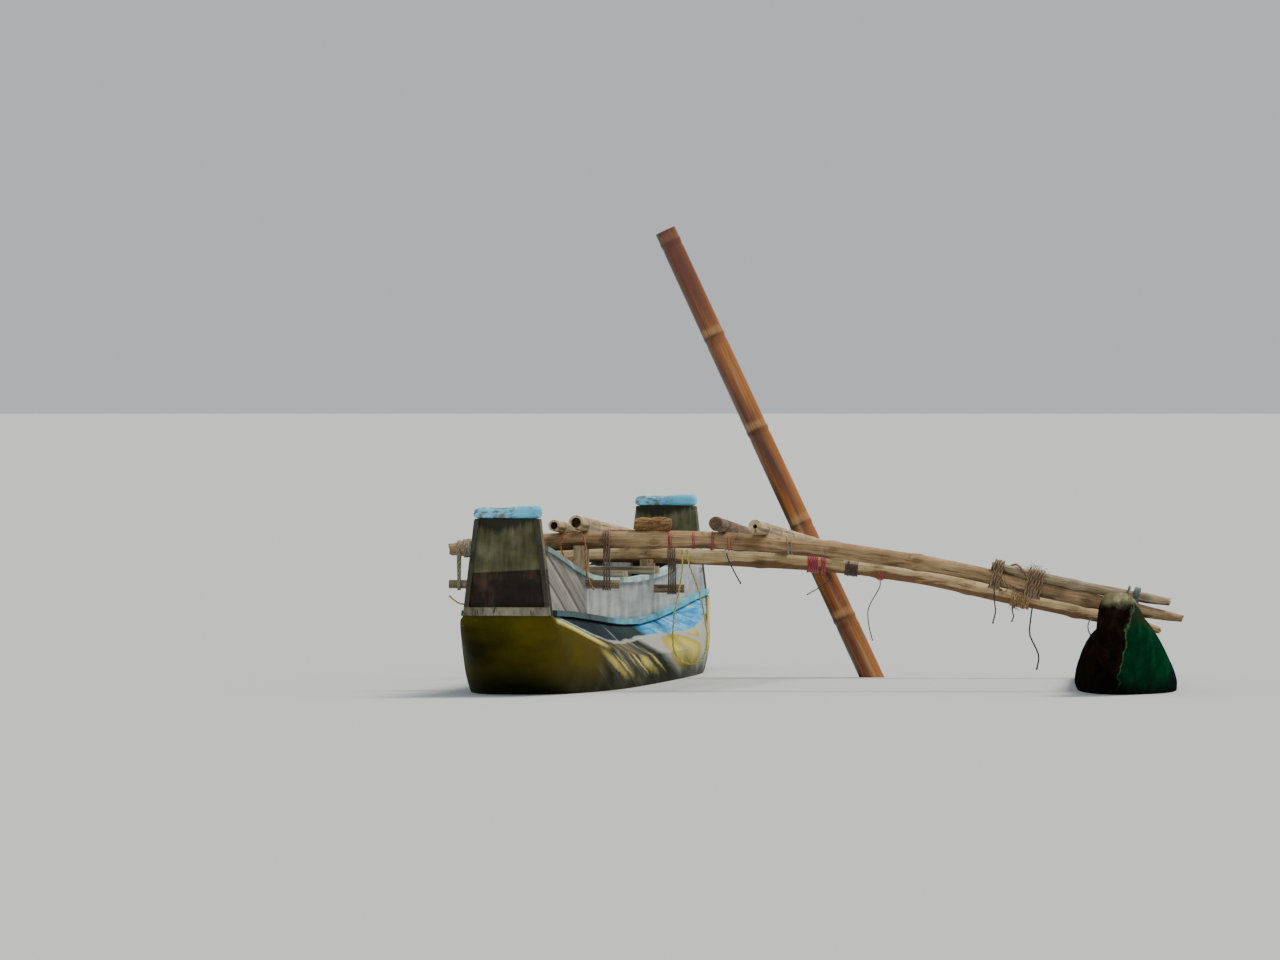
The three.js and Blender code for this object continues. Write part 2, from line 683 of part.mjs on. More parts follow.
function buildTieLashings() {
  addPiece('front_tie_bar', tieBarSolid(BOOMS.front), 0x9b8a6a, 0.85)
  addPiece('rear_tie_bar', tieBarSolid(BOOMS.rear), 0x9b8a6a, 0.85)
  for (const { name, boom, x, width, build, color } of TIE_LASHINGS) {
    const { y, points, tieZ } = BOOMS[boom]
    const { z, r } = boomAt(points, x)
    const band = bandGeometry(r + WRAP_ROOM, TIE_RADIUS + WRAP_ROOM, z - tieZ, build, width)
    band.translate(x, y, z)
    addPiece(name, band, color, 0.9)
  }
}

function buildWraps() {
  for (const { name, boom, x0, x1, build, color } of WRAPS) {
    const { y, points, upper } = BOOMS[boom]
    const x = (x0 + x1) / 2
    const low = boomAt(points, x)
    const onBoth = name === 'front_splice_wrap'
    const top = onBoth ? boomAt(upper, x) : { z: low.z + GAP, r: low.r }
    const room = onBoth ? SPLICE_ROOM : WRAP_ROOM
    const band = bandGeometry(top.r + room, low.r + room, top.z - low.z, build, x1 - x0, 6)
    band.rotateY(-boomSlope(points, x, (x1 - x0) / 2))
    band.translate(x, y, top.z)
    addPiece(name, band, color, 0.95)
  }
}

// Platform poles rest on both booms.
function platformPole(pole) {
  const rest = ({ y, points }, x) => {
    const boom = boomAt(points, x)
    return new THREE.Vector3(x, y, boom.z + boom.r + pole.radius + PLANK_GAP)
  }
  const front = rest(BOOMS.front, pole.frontX)
  const rear = rest(BOOMS.rear, pole.rearX)
  const place = (y) => front.clone().lerp(rear, (y - front.y) / (rear.y - front.y))
  const along = rear.clone().sub(front).normalize()
  const ends = [pole.frontY, pole.rearY].map(place)
  const body = loft(ends.map((end) => ringAround(end, along, pole.radius, POLE_SIDES + 2)))
  if (pole.bore === 0) return body
  const bores = ends.map((end) => loft([-BORE_DEPTH, BORE_DEPTH].map((reach) => (
    ringAround(end.clone().addScaledVector(along, reach), along, pole.bore, POLE_SIDES + 2)
  ))))
  return cut(body, ...bores)
}

function buildPlatform() {
  for (const pole of PLATFORM_POLES) {
    addPiece(pole.name, platformPole(pole), pole.bore > 0 ? 0xb59a62 : 0x8a7454, 0.75)
  }
}

// A short bark-covered log lies on the front boom, across the platform.
function buildCrossLog() {
  const points = CROSS_LOG_POINTS.map((point) => {
    const boom = boomAt(FRONT_BOOM_POINTS, point.x)
    return { ...point, z: boom.z + boom.r + point.r + 2 * PLANK_GAP }
  })
  addPiece('cross_log', boomGeometry(points, CROSS_LOG_Y), 0x6a5236, 0.95)
}

function buildPlanks() {
  for (const plank of PLANKS) {
    const section = hullAt(plank.y)
    const edges = [plank.y - plank.length / 2, plank.y + plank.length / 2]
    const rise = Math.max(...edges.map((y) => hullAt(y).gunwaleZ))
    const half = section.gunwaleHalf + GUNWALE_WIDTH / 2 + plank.overhang
    const board = new THREE.BoxGeometry(2 * half, plank.length, plank.thickness)
    board.translate(0, plank.y, rise + PLANK_GAP + plank.thickness / 2)
    addPiece(plank.name, board, plank.color, 0.75)
  }
}

// Float: an egg-shaped section, fuller below than above, that rises to a narrow head at its near end.
function floatRing(row) {
  const middle = THREE.MathUtils.lerp(row.bottomZ, row.topZ, FLOAT_MIDDLE_SHARE)
  return Array.from({ length: FLOAT_SIDES }, (_, side) => {
    const turn = (side / FLOAT_SIDES) * 2 * Math.PI
    const up = Math.sin(turn)
    const power = up > 0 ? FLOAT_CROWN_POWER : 2
    const across = Math.sign(Math.cos(turn)) * Math.abs(Math.cos(turn)) ** (2 / power)
    const reach = up > 0 ? row.topZ - middle : middle - row.bottomZ
    const rise = reach * Math.sign(up) * Math.abs(up) ** (2 / power)
    return new THREE.Vector3(row.shift + row.half * across, row.f, middle + rise)
  })
}

function floatCentreX(y) {
  return FLOAT_TIP.x - (y - FLOAT_TIP.y) * Math.tan(FLOAT_TOE_IN)
}

function floatLashing({ y, points, upper }, clearance) {
  const x = floatCentreX(y)
  const boom = boomAt(points, x)
  const top = upper ? boomAt(upper, x) : boom
  const foot = boom.z - FLOAT_LASHING_DROP + FLOAT_LASHING_TURN
  const band = bandGeometry(boom.r + SPLICE_ROOM - clearance, FLOAT_LASHING_TURN - clearance, top.z - foot,
    ROPE_BUILD + 2 * clearance, FLOAT_LASHING_WIDTH + 2 * clearance)
  band.rotateY(-boomSlope(points, x))
  band.translate(x, y, top.z)
  return band
}

function buildFloat() {
  const body = loft(FLOAT_ROWS.map(floatRing))
  body.rotateZ(FLOAT_TOE_IN)
  body.translate(FLOAT_TIP.x, FLOAT_TIP.y, 0)
  const crossings = Object.entries(BOOMS)
  const grooves = crossings.map(([, { y, points }]) => (
    boomSeat(points, floatCentreX(y), y, 2 * SEAT_ROOM, GROOVE_LENGTH)
  ))
  const slots = crossings.map(([, boom]) => floatLashing(boom, SLOT_ROOM))
  addPiece('float', cut(body, ...grooves, ...slots), 0x5d5a3c, 0.8)
  for (const [word, boom] of crossings) {
    addPiece(`float_lashing_${word}`, floatLashing(boom, 0), 0x55606b, 0.95)
  }
}

// The steering pole tapers toward its top; height is measured from the grommet, along the pole.
function steeringRadius(height) {
  return STEERING_RADIUS - STEERING_TAPER * height
}

// The steering pole is bamboo, in a rope grommet behind the rear boom; it turns about the Y axis there.
function buildSteeringPole() {
  const wrapFace = boomAt(REAR_BOOM_POINTS, STEERING_PIVOT.x).r + WRAP_ROOM + GROMMET_BUILD
  const inner = steeringRadius(-GROMMET_WIDTH) + 2 * GAP
  const outer = inner + GROMMET_BUILD
  const holder = new THREE.Group()
  holder.position.set(STEERING_PIVOT.x, REAR_BOOM_Y + wrapFace + PIVOT_GAP + outer, STEERING_PIVOT.z)
  holder.rotation.y = -STEERING_LEAN
  canoe.add(holder)

  const profile = [[0, -STEERING_BELOW], [steeringRadius(-STEERING_BELOW), -STEERING_BELOW]]
  const nodeCount = Math.floor((BAMBOO_NODE_TOP + STEERING_BELOW) / BAMBOO_NODE_STEP) + 1
  for (let node = nodeCount - 1; node >= 0; node -= 1) {
    const height = BAMBOO_NODE_TOP - node * BAMBOO_NODE_STEP
    const radius = steeringRadius(height)
    profile.push([radius, height - BAMBOO_NODE_REACH])
    profile.push([radius + BAMBOO_NODE_FLARE, height])
    profile.push([radius, height + BAMBOO_NODE_REACH])
  }
  profile.push([steeringRadius(STEERING_ABOVE), STEERING_ABOVE], [STEERING_BORE.radius, STEERING_ABOVE])
  profile.push([STEERING_BORE.radius, STEERING_ABOVE - STEERING_BORE.depth])
  profile.push([0, STEERING_ABOVE - STEERING_BORE.depth])
  addPiece('steering_pole', latheAlongZ(profile, 16), 0x8a5420, 0.45, holder)

  const low = -GROMMET_WIDTH / 2
  const high = GROMMET_WIDTH / 2
  const ring = [[inner, low], [outer, low], [outer, high], [inner, high], [inner, low]]
  addPiece('pole_grommet', latheAlongZ(ring, 20), 0xa8261f, 0.9, holder)
}

function latheAlongZ(profile, segments) {
  const geometry = new THREE.LatheGeometry(profile.map(([r, z]) => new THREE.Vector2(r, z)), segments)
  geometry.rotateX(Math.PI / 2)
  geometry.deleteAttribute('uv')
  geometry.deleteAttribute('normal')
  return outward(mergeVertices(geometry, 1e-3))
}

// Free cords
function buildCords() {
  for (const cord of CORDS) {
    const curve = new THREE.CatmullRomCurve3(cord.points.map((point) => new THREE.Vector3(...point)))
    const section = new THREE.Shape()
    section.absarc(0, 0, cord.diameter / 2, 0, 2 * Math.PI, false)
    const steps = Math.min(80, Math.round(curve.getLength() / (cord.diameter * CORD_STEP_DIAMETERS)))
    const tube = new THREE.ExtrudeGeometry(section, {
      steps,
      curveSegments: CORD_SIDES,
      extrudePath: curve,
      bevelEnabled: false,
    })
    addPiece(cord.name, tube, cord.color, 0.9)
  }
}

buildLowerHull()
buildSides()
buildEnd('bow', -1)
buildEnd('stern', 1)
buildPlanks()
addPiece('front_boom', boomGeometry(FRONT_BOOM_POINTS, FRONT_BOOM_Y), 0x8c8271, 0.9)
addPiece('front_boom_extension', boomGeometry(FRONT_EXTENSION_POINTS, FRONT_BOOM_Y), 0x7d6a4a, 0.9)
addPiece('rear_boom', boomGeometry(REAR_BOOM_POINTS, REAR_BOOM_Y), 0x82735c, 0.9)
buildChocks()
buildTieLashings()
buildWraps()
buildPlatform()
buildCrossLog()
buildFloat()
buildSteeringPole()
buildCords()

export default canoe
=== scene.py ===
# An outrigger canoe afloat, seen from ahead: its paint, poles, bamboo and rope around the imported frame.
import functools
import math

import bmesh
import bpy
from mathutils import Matrix, Vector, noise


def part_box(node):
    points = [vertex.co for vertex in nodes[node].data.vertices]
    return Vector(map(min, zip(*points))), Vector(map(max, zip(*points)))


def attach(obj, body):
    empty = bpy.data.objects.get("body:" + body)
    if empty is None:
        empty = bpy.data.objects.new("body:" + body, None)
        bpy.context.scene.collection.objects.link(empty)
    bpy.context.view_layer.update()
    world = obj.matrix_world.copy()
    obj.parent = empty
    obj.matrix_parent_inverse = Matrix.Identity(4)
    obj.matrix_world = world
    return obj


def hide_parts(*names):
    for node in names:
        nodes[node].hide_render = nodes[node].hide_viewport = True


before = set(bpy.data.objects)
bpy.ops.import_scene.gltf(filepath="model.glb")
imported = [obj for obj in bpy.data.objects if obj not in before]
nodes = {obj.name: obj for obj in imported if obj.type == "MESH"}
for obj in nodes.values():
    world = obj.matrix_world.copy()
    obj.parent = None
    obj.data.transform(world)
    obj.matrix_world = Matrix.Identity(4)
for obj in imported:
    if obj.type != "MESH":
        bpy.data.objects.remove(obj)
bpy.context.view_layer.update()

# Camera. The canoe is seen from a low bank far ahead of its bow, through a long lens,
# so its length is strongly foreshortened. The horizon lies above the middle of the picture.
PICTURE_WIDTH_PX = 1280
FOCAL_PX = 14400
HORIZON_ABOVE_MIDDLE_PX = 98
SENSOR_WIDTH_MM = 36
CAMERA_PLACE = (5.1955, -47.1010, 0.984)
CAMERA_TURN = math.radians(6.1)
VIEW_DEPTH = 900

lens = bpy.data.cameras.new("camera")
lens.sensor_width = SENSOR_WIDTH_MM
lens.lens = SENSOR_WIDTH_MM * FOCAL_PX / PICTURE_WIDTH_PX
lens.clip_end = VIEW_DEPTH
camera = bpy.data.objects.new("camera", lens)
camera.location = CAMERA_PLACE
camera.rotation_euler = (math.pi / 2 - math.atan(HORIZON_ABOVE_MIDDLE_PX / FOCAL_PX), 0, CAMERA_TURN)
bpy.context.scene.collection.objects.link(camera)
bpy.context.scene.camera = camera


# Studio light, under a pale sky. The key stands for a sun high to starboard and a little astern,
# spread wide as by thin cloud, and two weak ones fill the shade.
SUNS = [
    # name, where it shines from, spread in degrees, strength, colour
    ("key", (4.0, 2.6, 8.0), 24, 3.3, "fff3e0"),
    ("fill", (-5.0, -9.0, 4.0), 60, 0.4, "e4edf5"),
    ("bow_fill", (6.0, -10.0, 3.0), 60, 0.4, "eef3f6"),
]


def paint(code):
    """The linear RGBA of a colour written as sRGB hex, as it is read off a paint chart."""
    channels = [int(code[i:i + 2], 16) / 255 for i in (0, 2, 4)]
    return tuple(c / 12.92 if c < 0.04045 else ((c + 0.055) / 1.055) ** 2.4 for c in channels) + (1.0,)


for name, place, spread, strength, tint in SUNS:
    sun_data = bpy.data.lights.new(name, "SUN")
    sun_data.angle = math.radians(spread)
    sun_data.energy = strength
    sun_data.color = paint(tint)[:3]
    sun = bpy.data.objects.new(name, sun_data)
    sun.rotation_euler = Vector(place).to_track_quat("Z", "Y").to_euler()
    bpy.context.scene.collection.objects.link(sun)

sky = bpy.data.worlds.new("pale_sky")
sky.use_nodes = True
sky.node_tree.nodes["Background"].inputs["Color"].default_value = paint("e3e8ec")
sky.node_tree.nodes["Background"].inputs["Strength"].default_value = 0.7
bpy.context.scene.world = sky


# Free ropes. Three-strand rope of dyed plastic yarn, faded by sun and stiff with salt. Each loop or
# tail is what was left over when a knot was tied: it hangs from a boom, a pole or a lashing.
ROPE_PITCH = 3.2          # length of one turn of the lay, in diameters
STRANDS = 3
STRAND_DEPTH = 0.2        # depth of the grooves between strands, as a share of the radius
RINGS_IN_A_TURN = 7       # of the rope's skin, in one turn of its lay
TIP_SWELL = 1.35          # how much a bare end frays out
ROPES = [
    # name, diameter, light and dark colour, record slot, end, lay, points in metres from the tied end
    ("yellow_loop", 0.006, "e2d452", "8b812a", "yellow_rope", "object", "hanging", [
        (.466, -1.436, .449), (.474, -1.44, .4), (.5, -1.44, .33), (.522, -1.44, .24), (.531, -1.438, .16),
        (.512, -1.436, .098), (.462, -1.434, .088), (.424, -1.434, .13), (.424, -1.438, .23),
        (.443, -1.442, .33), (.452, -1.442, .4), (.449, -1.438, .45)]),
    ("orange_loop", 0.006, "bd7f2c", "63380f", "orange_rope", "bare", "hanging", [
        (.073, -1.562, .322), (.092, -1.56, .362), (.095, -1.56, .4), (.08, -1.558, .44),
        (.073, -1.556, .472), (.084, -1.556, .5), (.112, -1.556, .507), (.141, -1.556, .5),
        (.152, -1.556, .472), (.153, -1.557, .436), (.155, -1.558, .402), (.159, -1.559, .372),
        (.168, -1.56, .345), (.182, -1.562, .322)]),
    ("black_tail", 0.006, "20242f", "08090d", "black_rope", "bare", "hanging", [
        (1.41, .572, .234), (1.406, .562, .196), (1.404, .56, .144), (1.432, .56, .078),
        (1.426, .562, .028)]),
    ("dark_red_tail", 0.004, "4c1730", "1c0812", "dark_red_rope", "bare", "hanging", [
        (.904, .563, .326), (.902, .556, .3), (.868, .552, .236), (.866, .552, .186), (.88, .552, .124)]),
    ("purple_tail", 0.005, "4a2c56", "1a0f20", "purple_rope", "bare", "hanging", [
        (.592, -1.436, .438), (.602, -1.442, .412), (.62, -1.444, .376), (.64, -1.444, .34)]),
    ("yellow_tail", 0.006, "f2cc52", "a87e20", "yellow_rope", "bare", "loose", [
        (-.214, -1.418, .322), (-.222, -1.422, .296), (-.242, -1.424, .276), (-.27, -1.426, .279),
        (-.3, -1.428, .302)]),
    ("grommet_tail", 0.004, "33191a", "0e0607", "dark_red_rope", "bare", "loose", [
        (.716, .562, .352), (.736, .558, .344), (.735, .556, .326), (.702, .554, .301), (.66, .554, .276)]),
    ("short_tail_1", 0.005, "242428", "0a0a0c", "black_rope", "bare", "hanging", [
        (1.447, -1.441, .352), (1.449, -1.444, .33), (1.45, -1.445, .29), (1.453, -1.446, .253),
        (1.444, -1.445, .215)]),
    ("short_tail_2", 0.005, "1e232b", "08090c", "black_rope", "bare", "hanging", [
        (1.346, .568, .243), (1.345, .56, .226), (1.349, .559, .206), (1.342, .56, .187)]),
]


def add(tree, kind, inputs=(), ramp=(), out=None, **settings):
    """Adds a shader node with its settings and its ramp's stops, and gives its named or first output.

    Inputs are one link, several values and links in order, or some by name; a string is a hex colour.
    A word after a dot in the kind is the node's operation.
    """
    kind, _, operation = kind.partition(".")
    node = tree.nodes.new("ShaderNode" + kind)
    for key, value in (settings | {"operation": operation} if operation else settings).items():
        setattr(node, key, value)
    if isinstance(inputs, bpy.types.NodeSocket):
        inputs = [inputs]
    for key, value in inputs.items() if isinstance(inputs, dict) else enumerate(inputs):
        if isinstance(value, bpy.types.NodeSocket):
            tree.links.new(value, node.inputs[key])
        else:
            node.inputs[key].default_value = paint(value) if isinstance(value, str) else value
    if ramp:
        stops = node.color_ramp.elements
        while len(stops) < len(ramp):
            stops.new(1)
        for stop, (place, tone) in zip(stops, ramp):
            stop.position = place
            stop.color = paint(tone) if isinstance(tone, str) else (tone,) * 4
    return node.outputs[out] if out else next(socket for socket in node.outputs if socket.enabled)


def layer(node, under, value, start, full, share, over):
    """Lays one colour over another in a share that grows as a value goes from start to full."""
    amount = node("MapRange", (value, start, full, 0.0, share))
    return node("Mix", {0: amount, 6: under, 7: over}, data_type="RGBA")


def new_finish(name, **sockets):
    """A material, what adds nodes to it, and its shader, whose constant sockets are set directly."""
    finish = bpy.data.materials.new(name)
    finish.use_nodes = True
    shader = finish.node_tree.nodes["Principled BSDF"]
    for socket, value in sockets.items():
        shader.inputs[socket.replace("_", " ")].default_value = value
    return finish, functools.partial(add, finish.node_tree), shader


def surface(shader, colour, relief, strength, depth, gloss=None):
    """Gives a shader its colour, the relief that bumps it and, where it varies, its roughness."""
    tree = shader.id_data
    bump = add(tree, "Bump", {"Height": relief, "Strength": strength, "Distance": depth})
    for socket, value in (("Base Color", colour), ("Normal", bump), ("Roughness", gloss)):
        if value is not None:
            tree.links.new(value, shader.inputs[socket])


def smooth_path(points, step):
    """Points about a step apart on a smooth curve through the given points."""
    knots = [Vector(p) for p in points]
    knots = [2 * knots[0] - knots[1]] + knots + [2 * knots[-1] - knots[-2]]
    path = []
    for before, low, high, after in zip(knots, knots[1:], knots[2:], knots[3:]):
        count = max(1, round((high - low).length / step))
        for i in range(count):
            u = i / count
            path.append(0.5 * (2 * low + (high - before) * u
                               + (2 * before - 5 * low + 4 * high - after) * u ** 2
                               + (3 * low - before - 3 * high + after) * u ** 3))
    return path + [knots[-2]]


def skin(bm, rings, lays=None):
    """Rolls one grid into a tube through rings of points, and fills its two ends."""
    rank = bm.verts.layers.int.get("rank") or bm.verts.layers.int.new("rank")
    lay = bm.verts.layers.float_vector.get("lay") or bm.verts.layers.float_vector.new("lay")
    last, sides = len(rings) - 1, len(rings[0])
    seam = []
    for vert in bmesh.ops.create_grid(bm, x_segments=last, y_segments=sides, size=0.5)["verts"]:
        row, column = round((vert.co.x + 0.5) * last), round((vert.co.y + 0.5) * sides)
        if column in (0, sides):
            seam.append(vert)
        column %= sides
        vert.co = rings[row][column]
        vert[rank] = column
        if lays:
            vert[lay] = lays[row][column]
    bmesh.ops.remove_doubles(bm, verts=seam, dist=1e-6)
    bmesh.ops.holes_fill(bm, edges=[edge for edge in bm.edges if edge.is_boundary])


def run_ring(bm, path, radii, sides=12, strands=0, pitch=1.0):
    """Skins rings along a path. Each point notes the cosine and sine round it, and the metres along."""
    up = Vector((0, 0, 1)) if abs((path[1] - path[0]).normalized().z) < 0.8 else Vector((0, 1, 0))
    along = 0.0
    rings, lays = [], []
    for index, centre in enumerate(path):
        ahead = (path[min(index + 1, len(path) - 1)] - path[max(index - 1, 0)]).normalized()
        across = up.cross(ahead).normalized()
        up = ahead.cross(across)
        along += (centre - path[index - 1]).length if index else 0
        turns = [2 * math.pi * side / sides for side in range(sides)]
        lays.append([(math.cos(turn), math.sin(turn), along) for turn in turns])
        rings.append([])
        for turn in turns:
            groove = abs(math.sin(strands * turn / 2 - math.pi * along / pitch)) if strands else 0
            reach = radii[index] * (1 - STRAND_DEPTH * groove)
            rings[-1].append(centre + across * math.cos(turn) * reach + up * math.sin(turn) * reach)
    skin(bm, rings, lays)


def finish_piece(bm, name, finish, slot, body="canoe", replaces=(), sharp_deg=42):
    """Turns a bmesh into a piece that rides on its body and stands for its plain solids."""
    bmesh.ops.recalc_face_normals(bm, faces=bm.faces)
    mesh = bpy.data.meshes.new(name)
    bm.to_mesh(mesh)
    bm.free()
    mesh.shade_smooth()
    mesh.set_sharp_from_angle(angle=math.radians(sharp_deg))
    mesh.materials.append(finish)
    piece = bpy.data.objects.new(name, mesh)
    bpy.context.scene.collection.objects.link(piece)
    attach(piece, body)
    if replaces:
        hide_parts(*replaces)
    return piece


def rope_yarn(name, light, dark, diameter, pitch=ROPE_PITCH, dust="a89f8c"):
    """Twisted yarn: pale crowns, grooves between the strands painted dark as painted shade, dust and a few
    bleached lengths.

    A pattern's scale counts its marks in a metre. Fibres are drawn about as long as the rope is thick,
    coarser than they are, so that they show. Bleached lengths are 110 mm.
    """
    finish, node, shader = new_finish(name, Roughness=0.85, Sheen_Weight=0.25, Sheen_Roughness=0.6)
    lay = node("SeparateXYZ", node("Attribute", out="Vector", attribute_name="lay")).node.outputs
    wound = node("Math.MULTIPLY", (node("Math.ARCTAN2", (lay["Y"], lay["X"])), STRANDS / 2))
    run = node("Math.MULTIPLY_ADD", (lay["Z"], -math.pi / (pitch * diameter), wound))
    groove = node("Math.ABSOLUTE", node("Math.SINE", run))
    place = node("TexCoord", out="Object")
    fibre = node("TexNoise", {"Vector": place, "Scale": 0.9 / diameter, "Detail": 5.0})
    fade = node("TexNoise", {"Vector": place, "Scale": 9.0, "Detail": 3.0})
    # The grooves between the strands are painted dark as painted shade; the crowns keep the rope's own pale
    # colour.
    crown = node("MapRange", (groove, 0.25, 0.95, 1.0, 0.0))
    strand = node("Mix", {0: crown, 6: dark, 7: light}, data_type="RGBA")
    dusty = layer(node, strand, fade, 0.45, 0.75, 0.55, dust)
    flecks = node("MapRange", (fibre, 0.35, 0.7, 0.55, 1.15))
    yarn = node("Mix", {0: 1.0, 6: dusty, 7: flecks}, data_type="RGBA", blend_type="MULTIPLY")
    surface(shader, yarn, node("Math.ADD", (crown, fibre)), 0.7, 0.15 * diameter)
    return finish


for name, diameter, light, dark, slot, far_end, lay_word, points in ROPES:
    rope = bmesh.new()
    path = smooth_path(points, diameter * ROPE_PITCH / RINGS_IN_A_TURN)
    radii = [diameter / 2] * len(path)
    if far_end == "bare":
        radii[-3:] = [diameter / 2 * TIP_SWELL, diameter / 2 * TIP_SWELL, diameter / 4]
    run_ring(rope, path, radii, strands=STRANDS, pitch=ROPE_PITCH * diameter)
    yarn = rope_yarn(name + "_twisted_yarn", light, dark, diameter, dust=light)
    piece = finish_piece(rope, name + "_rope", yarn, slot, replaces=[name], sharp_deg=70)
    length = sum((b - a).length for a, b in zip(path, path[1:]))


# Lower hull. A hollowed log sheathed in glass fibre and brushed with enamel: yellow under the stems,
# painted dark olive there as painted shade and lighter to starboard as painted sunlight, a blue shoulder
# over yellow leaves and pale stripes amidships, green and dirty at the water.
HALF_LENGTH = 2.4
HULL_WALL = 0.018
KEEL_WALL = 0.026
STEM_LENGTH = 0.15
STEM_STEPS = 8
STATION_STEP = 0.05
BILGE_POWER = 2.6         # how square the bilge is: 2 is an ellipse
BILGE_STEPS = 16
SHOULDER_STEPS = 4
HULL_LINES = [
    # metres from the hull's end, joint height and half width, ridge half width and height, keel height
    (0, .253, .138, .145, .243, .21), (.08, .251, .139, .157, .235, .142),
    (.18, .249, .14, .168, .224, .072), (.3, .246, .141, .18, .21, .014),
    (.5, .241, .142, .2, .184, -.06), (.8, .231, .144, .229, .147, -.118),
    (1.2, .217, .146, .251, .114, -.153), (1.8, .197, .148, .261, .098, -.17),
    (2.4, .188, .149, .263, .095, -.175),
]
LEAVES = [
    # middle along the hull and above its ridge, half length and half height of each painted leaf,
    # and how far it leans aft for each metre down
    (-1.45, -.046, .13, .034, 8), (-1.2, -.05, .05, .034, 8), (-.62, -.034, .15, .034, 7),
    (-.86, -.03, .04, .04, 7), (-.34, -.03, .045, .04, 7), (.55, -.008, .54, .064, 1.6),
    (1.08, .05, .2, .036, 3), (1.5, -.03, .26, .036, 3), (1.98, .004, .22, .032, 3),
]
SWEEP = 5.75              # metres aft for each metre down, of the streaks on the side
SHADOW_BAND_PLACE = -0.21       # where the dark band of painted shadow crosses the ridge
STEM_OLIVE = (1.5, 1.75)  # metres from amidships, from the striped side to the plain olive of a stem
SHADED_SHOULDER_END = (0.05, -0.2)  # from the blue part of the shoulder to its fore part, painted dark slate as painted shade
LINE_RUN = (0.5, 1.9, 0.052, 0.018)   # the thin line's two places along the hull, and its heights there


def read_line(rows, column, s):
    """One column of a table of lines at a place along it, on a smooth curve through the rows."""
    last = len(rows) - 1
    upper = max(1, next((i for i, row in enumerate(rows) if row[0] >= s), last))

    def slope(i):
        before, after = rows[max(i - 1, 0)], rows[min(i + 1, last)]
        return (after[column] - before[column]) / (after[0] - before[0])

    low, high = rows[upper - 1], rows[upper]
    span = high[0] - low[0]
    u = (s - low[0]) / span
    rise = high[column] - low[column]
    start, end = slope(upper - 1) * span, slope(upper) * span
    return low[column] + u * (start + u * (3 * rise - 2 * start - end + u * (start + end - 2 * rise)))


def hull_section(y, wall=0.0, keel_wall=0.0):
    """The hull's line at a station, from the starboard joint down round the keel to the port joint."""
    s = HALF_LENGTH - abs(y)
    joint_z, joint_half, ridge_half, ridge_z, keel_z = (read_line(HULL_LINES, i, s) for i in range(1, 6))
    side = []
    for step in range(SHOULDER_STEPS):
        u = step / SHOULDER_STEPS
        side.append((joint_half + (ridge_half - joint_half) * u - wall, joint_z + (ridge_z - joint_z) * u))
    for step in range(BILGE_STEPS):
        turn = step / BILGE_STEPS * math.pi / 2
        side.append(((ridge_half - wall) * math.cos(turn) ** (2 / BILGE_POWER),
                     ridge_z + (keel_z + keel_wall - ridge_z) * math.sin(turn) ** (2 / BILGE_POWER)))
    whole = side + [(0, keel_z + keel_wall)] + [(-x, z) for x, z in reversed(side)]
    return [Vector((x, y, z)) for x, z in whole]


hull = bmesh.new()
hollow_end = HALF_LENGTH - STEM_LENGTH
steps = round(2 * hollow_end / STATION_STEP)
hollow_ys = [hollow_end * (2 * i / steps - 1) for i in range(steps + 1)]
skin(hull, [hull_section(y) + hull_section(y, HULL_WALL, KEEL_WALL)[::-1] for y in hollow_ys])
stem_ys = [hollow_end + STEM_LENGTH * i / STEM_STEPS for i in range(STEM_STEPS + 1)]
for side in (-1, 1):
    skin(hull, [hull_section(side * y) for y in stem_ys])
# Each point notes its height above the ridge, its place along the hull, and whether it is inside.
strake = hull.verts.layers.float_vector.new("strake")
for vert in hull.verts:
    inner = vert[hull.verts.layers.int["rank"]] > 2 * (SHOULDER_STEPS + BILGE_STEPS)
    vert[strake] = (vert.co.z - read_line(HULL_LINES, 4, HALF_LENGTH - abs(vert.co.y)), vert.co.y, inner)

# What the eye gets: brush marks, chalked and rubbed patches, a painted highlight along the ridge near the
# stems, and a weedy waterline.
# Brush marks are 29 mm across the hull, 250 mm along it and 17 mm high, and the patches 200 mm wide.
hull_enamel, node, shader = new_finish("brushed_enamel_on_sheathed_log", Specular_IOR_Level=0.02)
place = node("TexCoord", out="Object")
spot = node("SeparateXYZ", place).node.outputs
marks = node("SeparateXYZ", node("Attribute", out="Vector", attribute_name="strake")).node.outputs
broad = node("TexNoise", {"Vector": place, "Scale": 5.0, "Detail": 5.0})
long_way = node("Mapping", {"Vector": place, "Scale": (34.0, 4.0, 60.0)})
brush = node("TexNoise", {"Vector": long_way, "Scale": 1.0, "Detail": 6.0, "Roughness": 0.65})
height = node("Math.SUBTRACT", (node("Math.MULTIPLY_ADD", (brush, 0.02, marks["X"])), 0.01))
leaf_reach = 9.0
for middle, above, half, tall, lean in LEAVES:
    slant = node("Math.MULTIPLY_ADD", (height, lean, marks["Y"]))
    across = node("Math.MULTIPLY_ADD", (slant, 1 / half, -(middle + lean * above) / half))
    down = node("Math.MULTIPLY_ADD", (height, 1 / tall, -above / tall))
    far = node("VectorMath.LENGTH", node("CombineXYZ", (across, down)))
    leaf_reach = node("Math.MINIMUM", (leaf_reach, far))
leaf = node("ValToRGB", leaf_reach, ramp=[
    (0.0, "c2bb7e"), (0.6, "bdb05a"), (0.86, "9d9038"), (1.0, "a9a88e")])
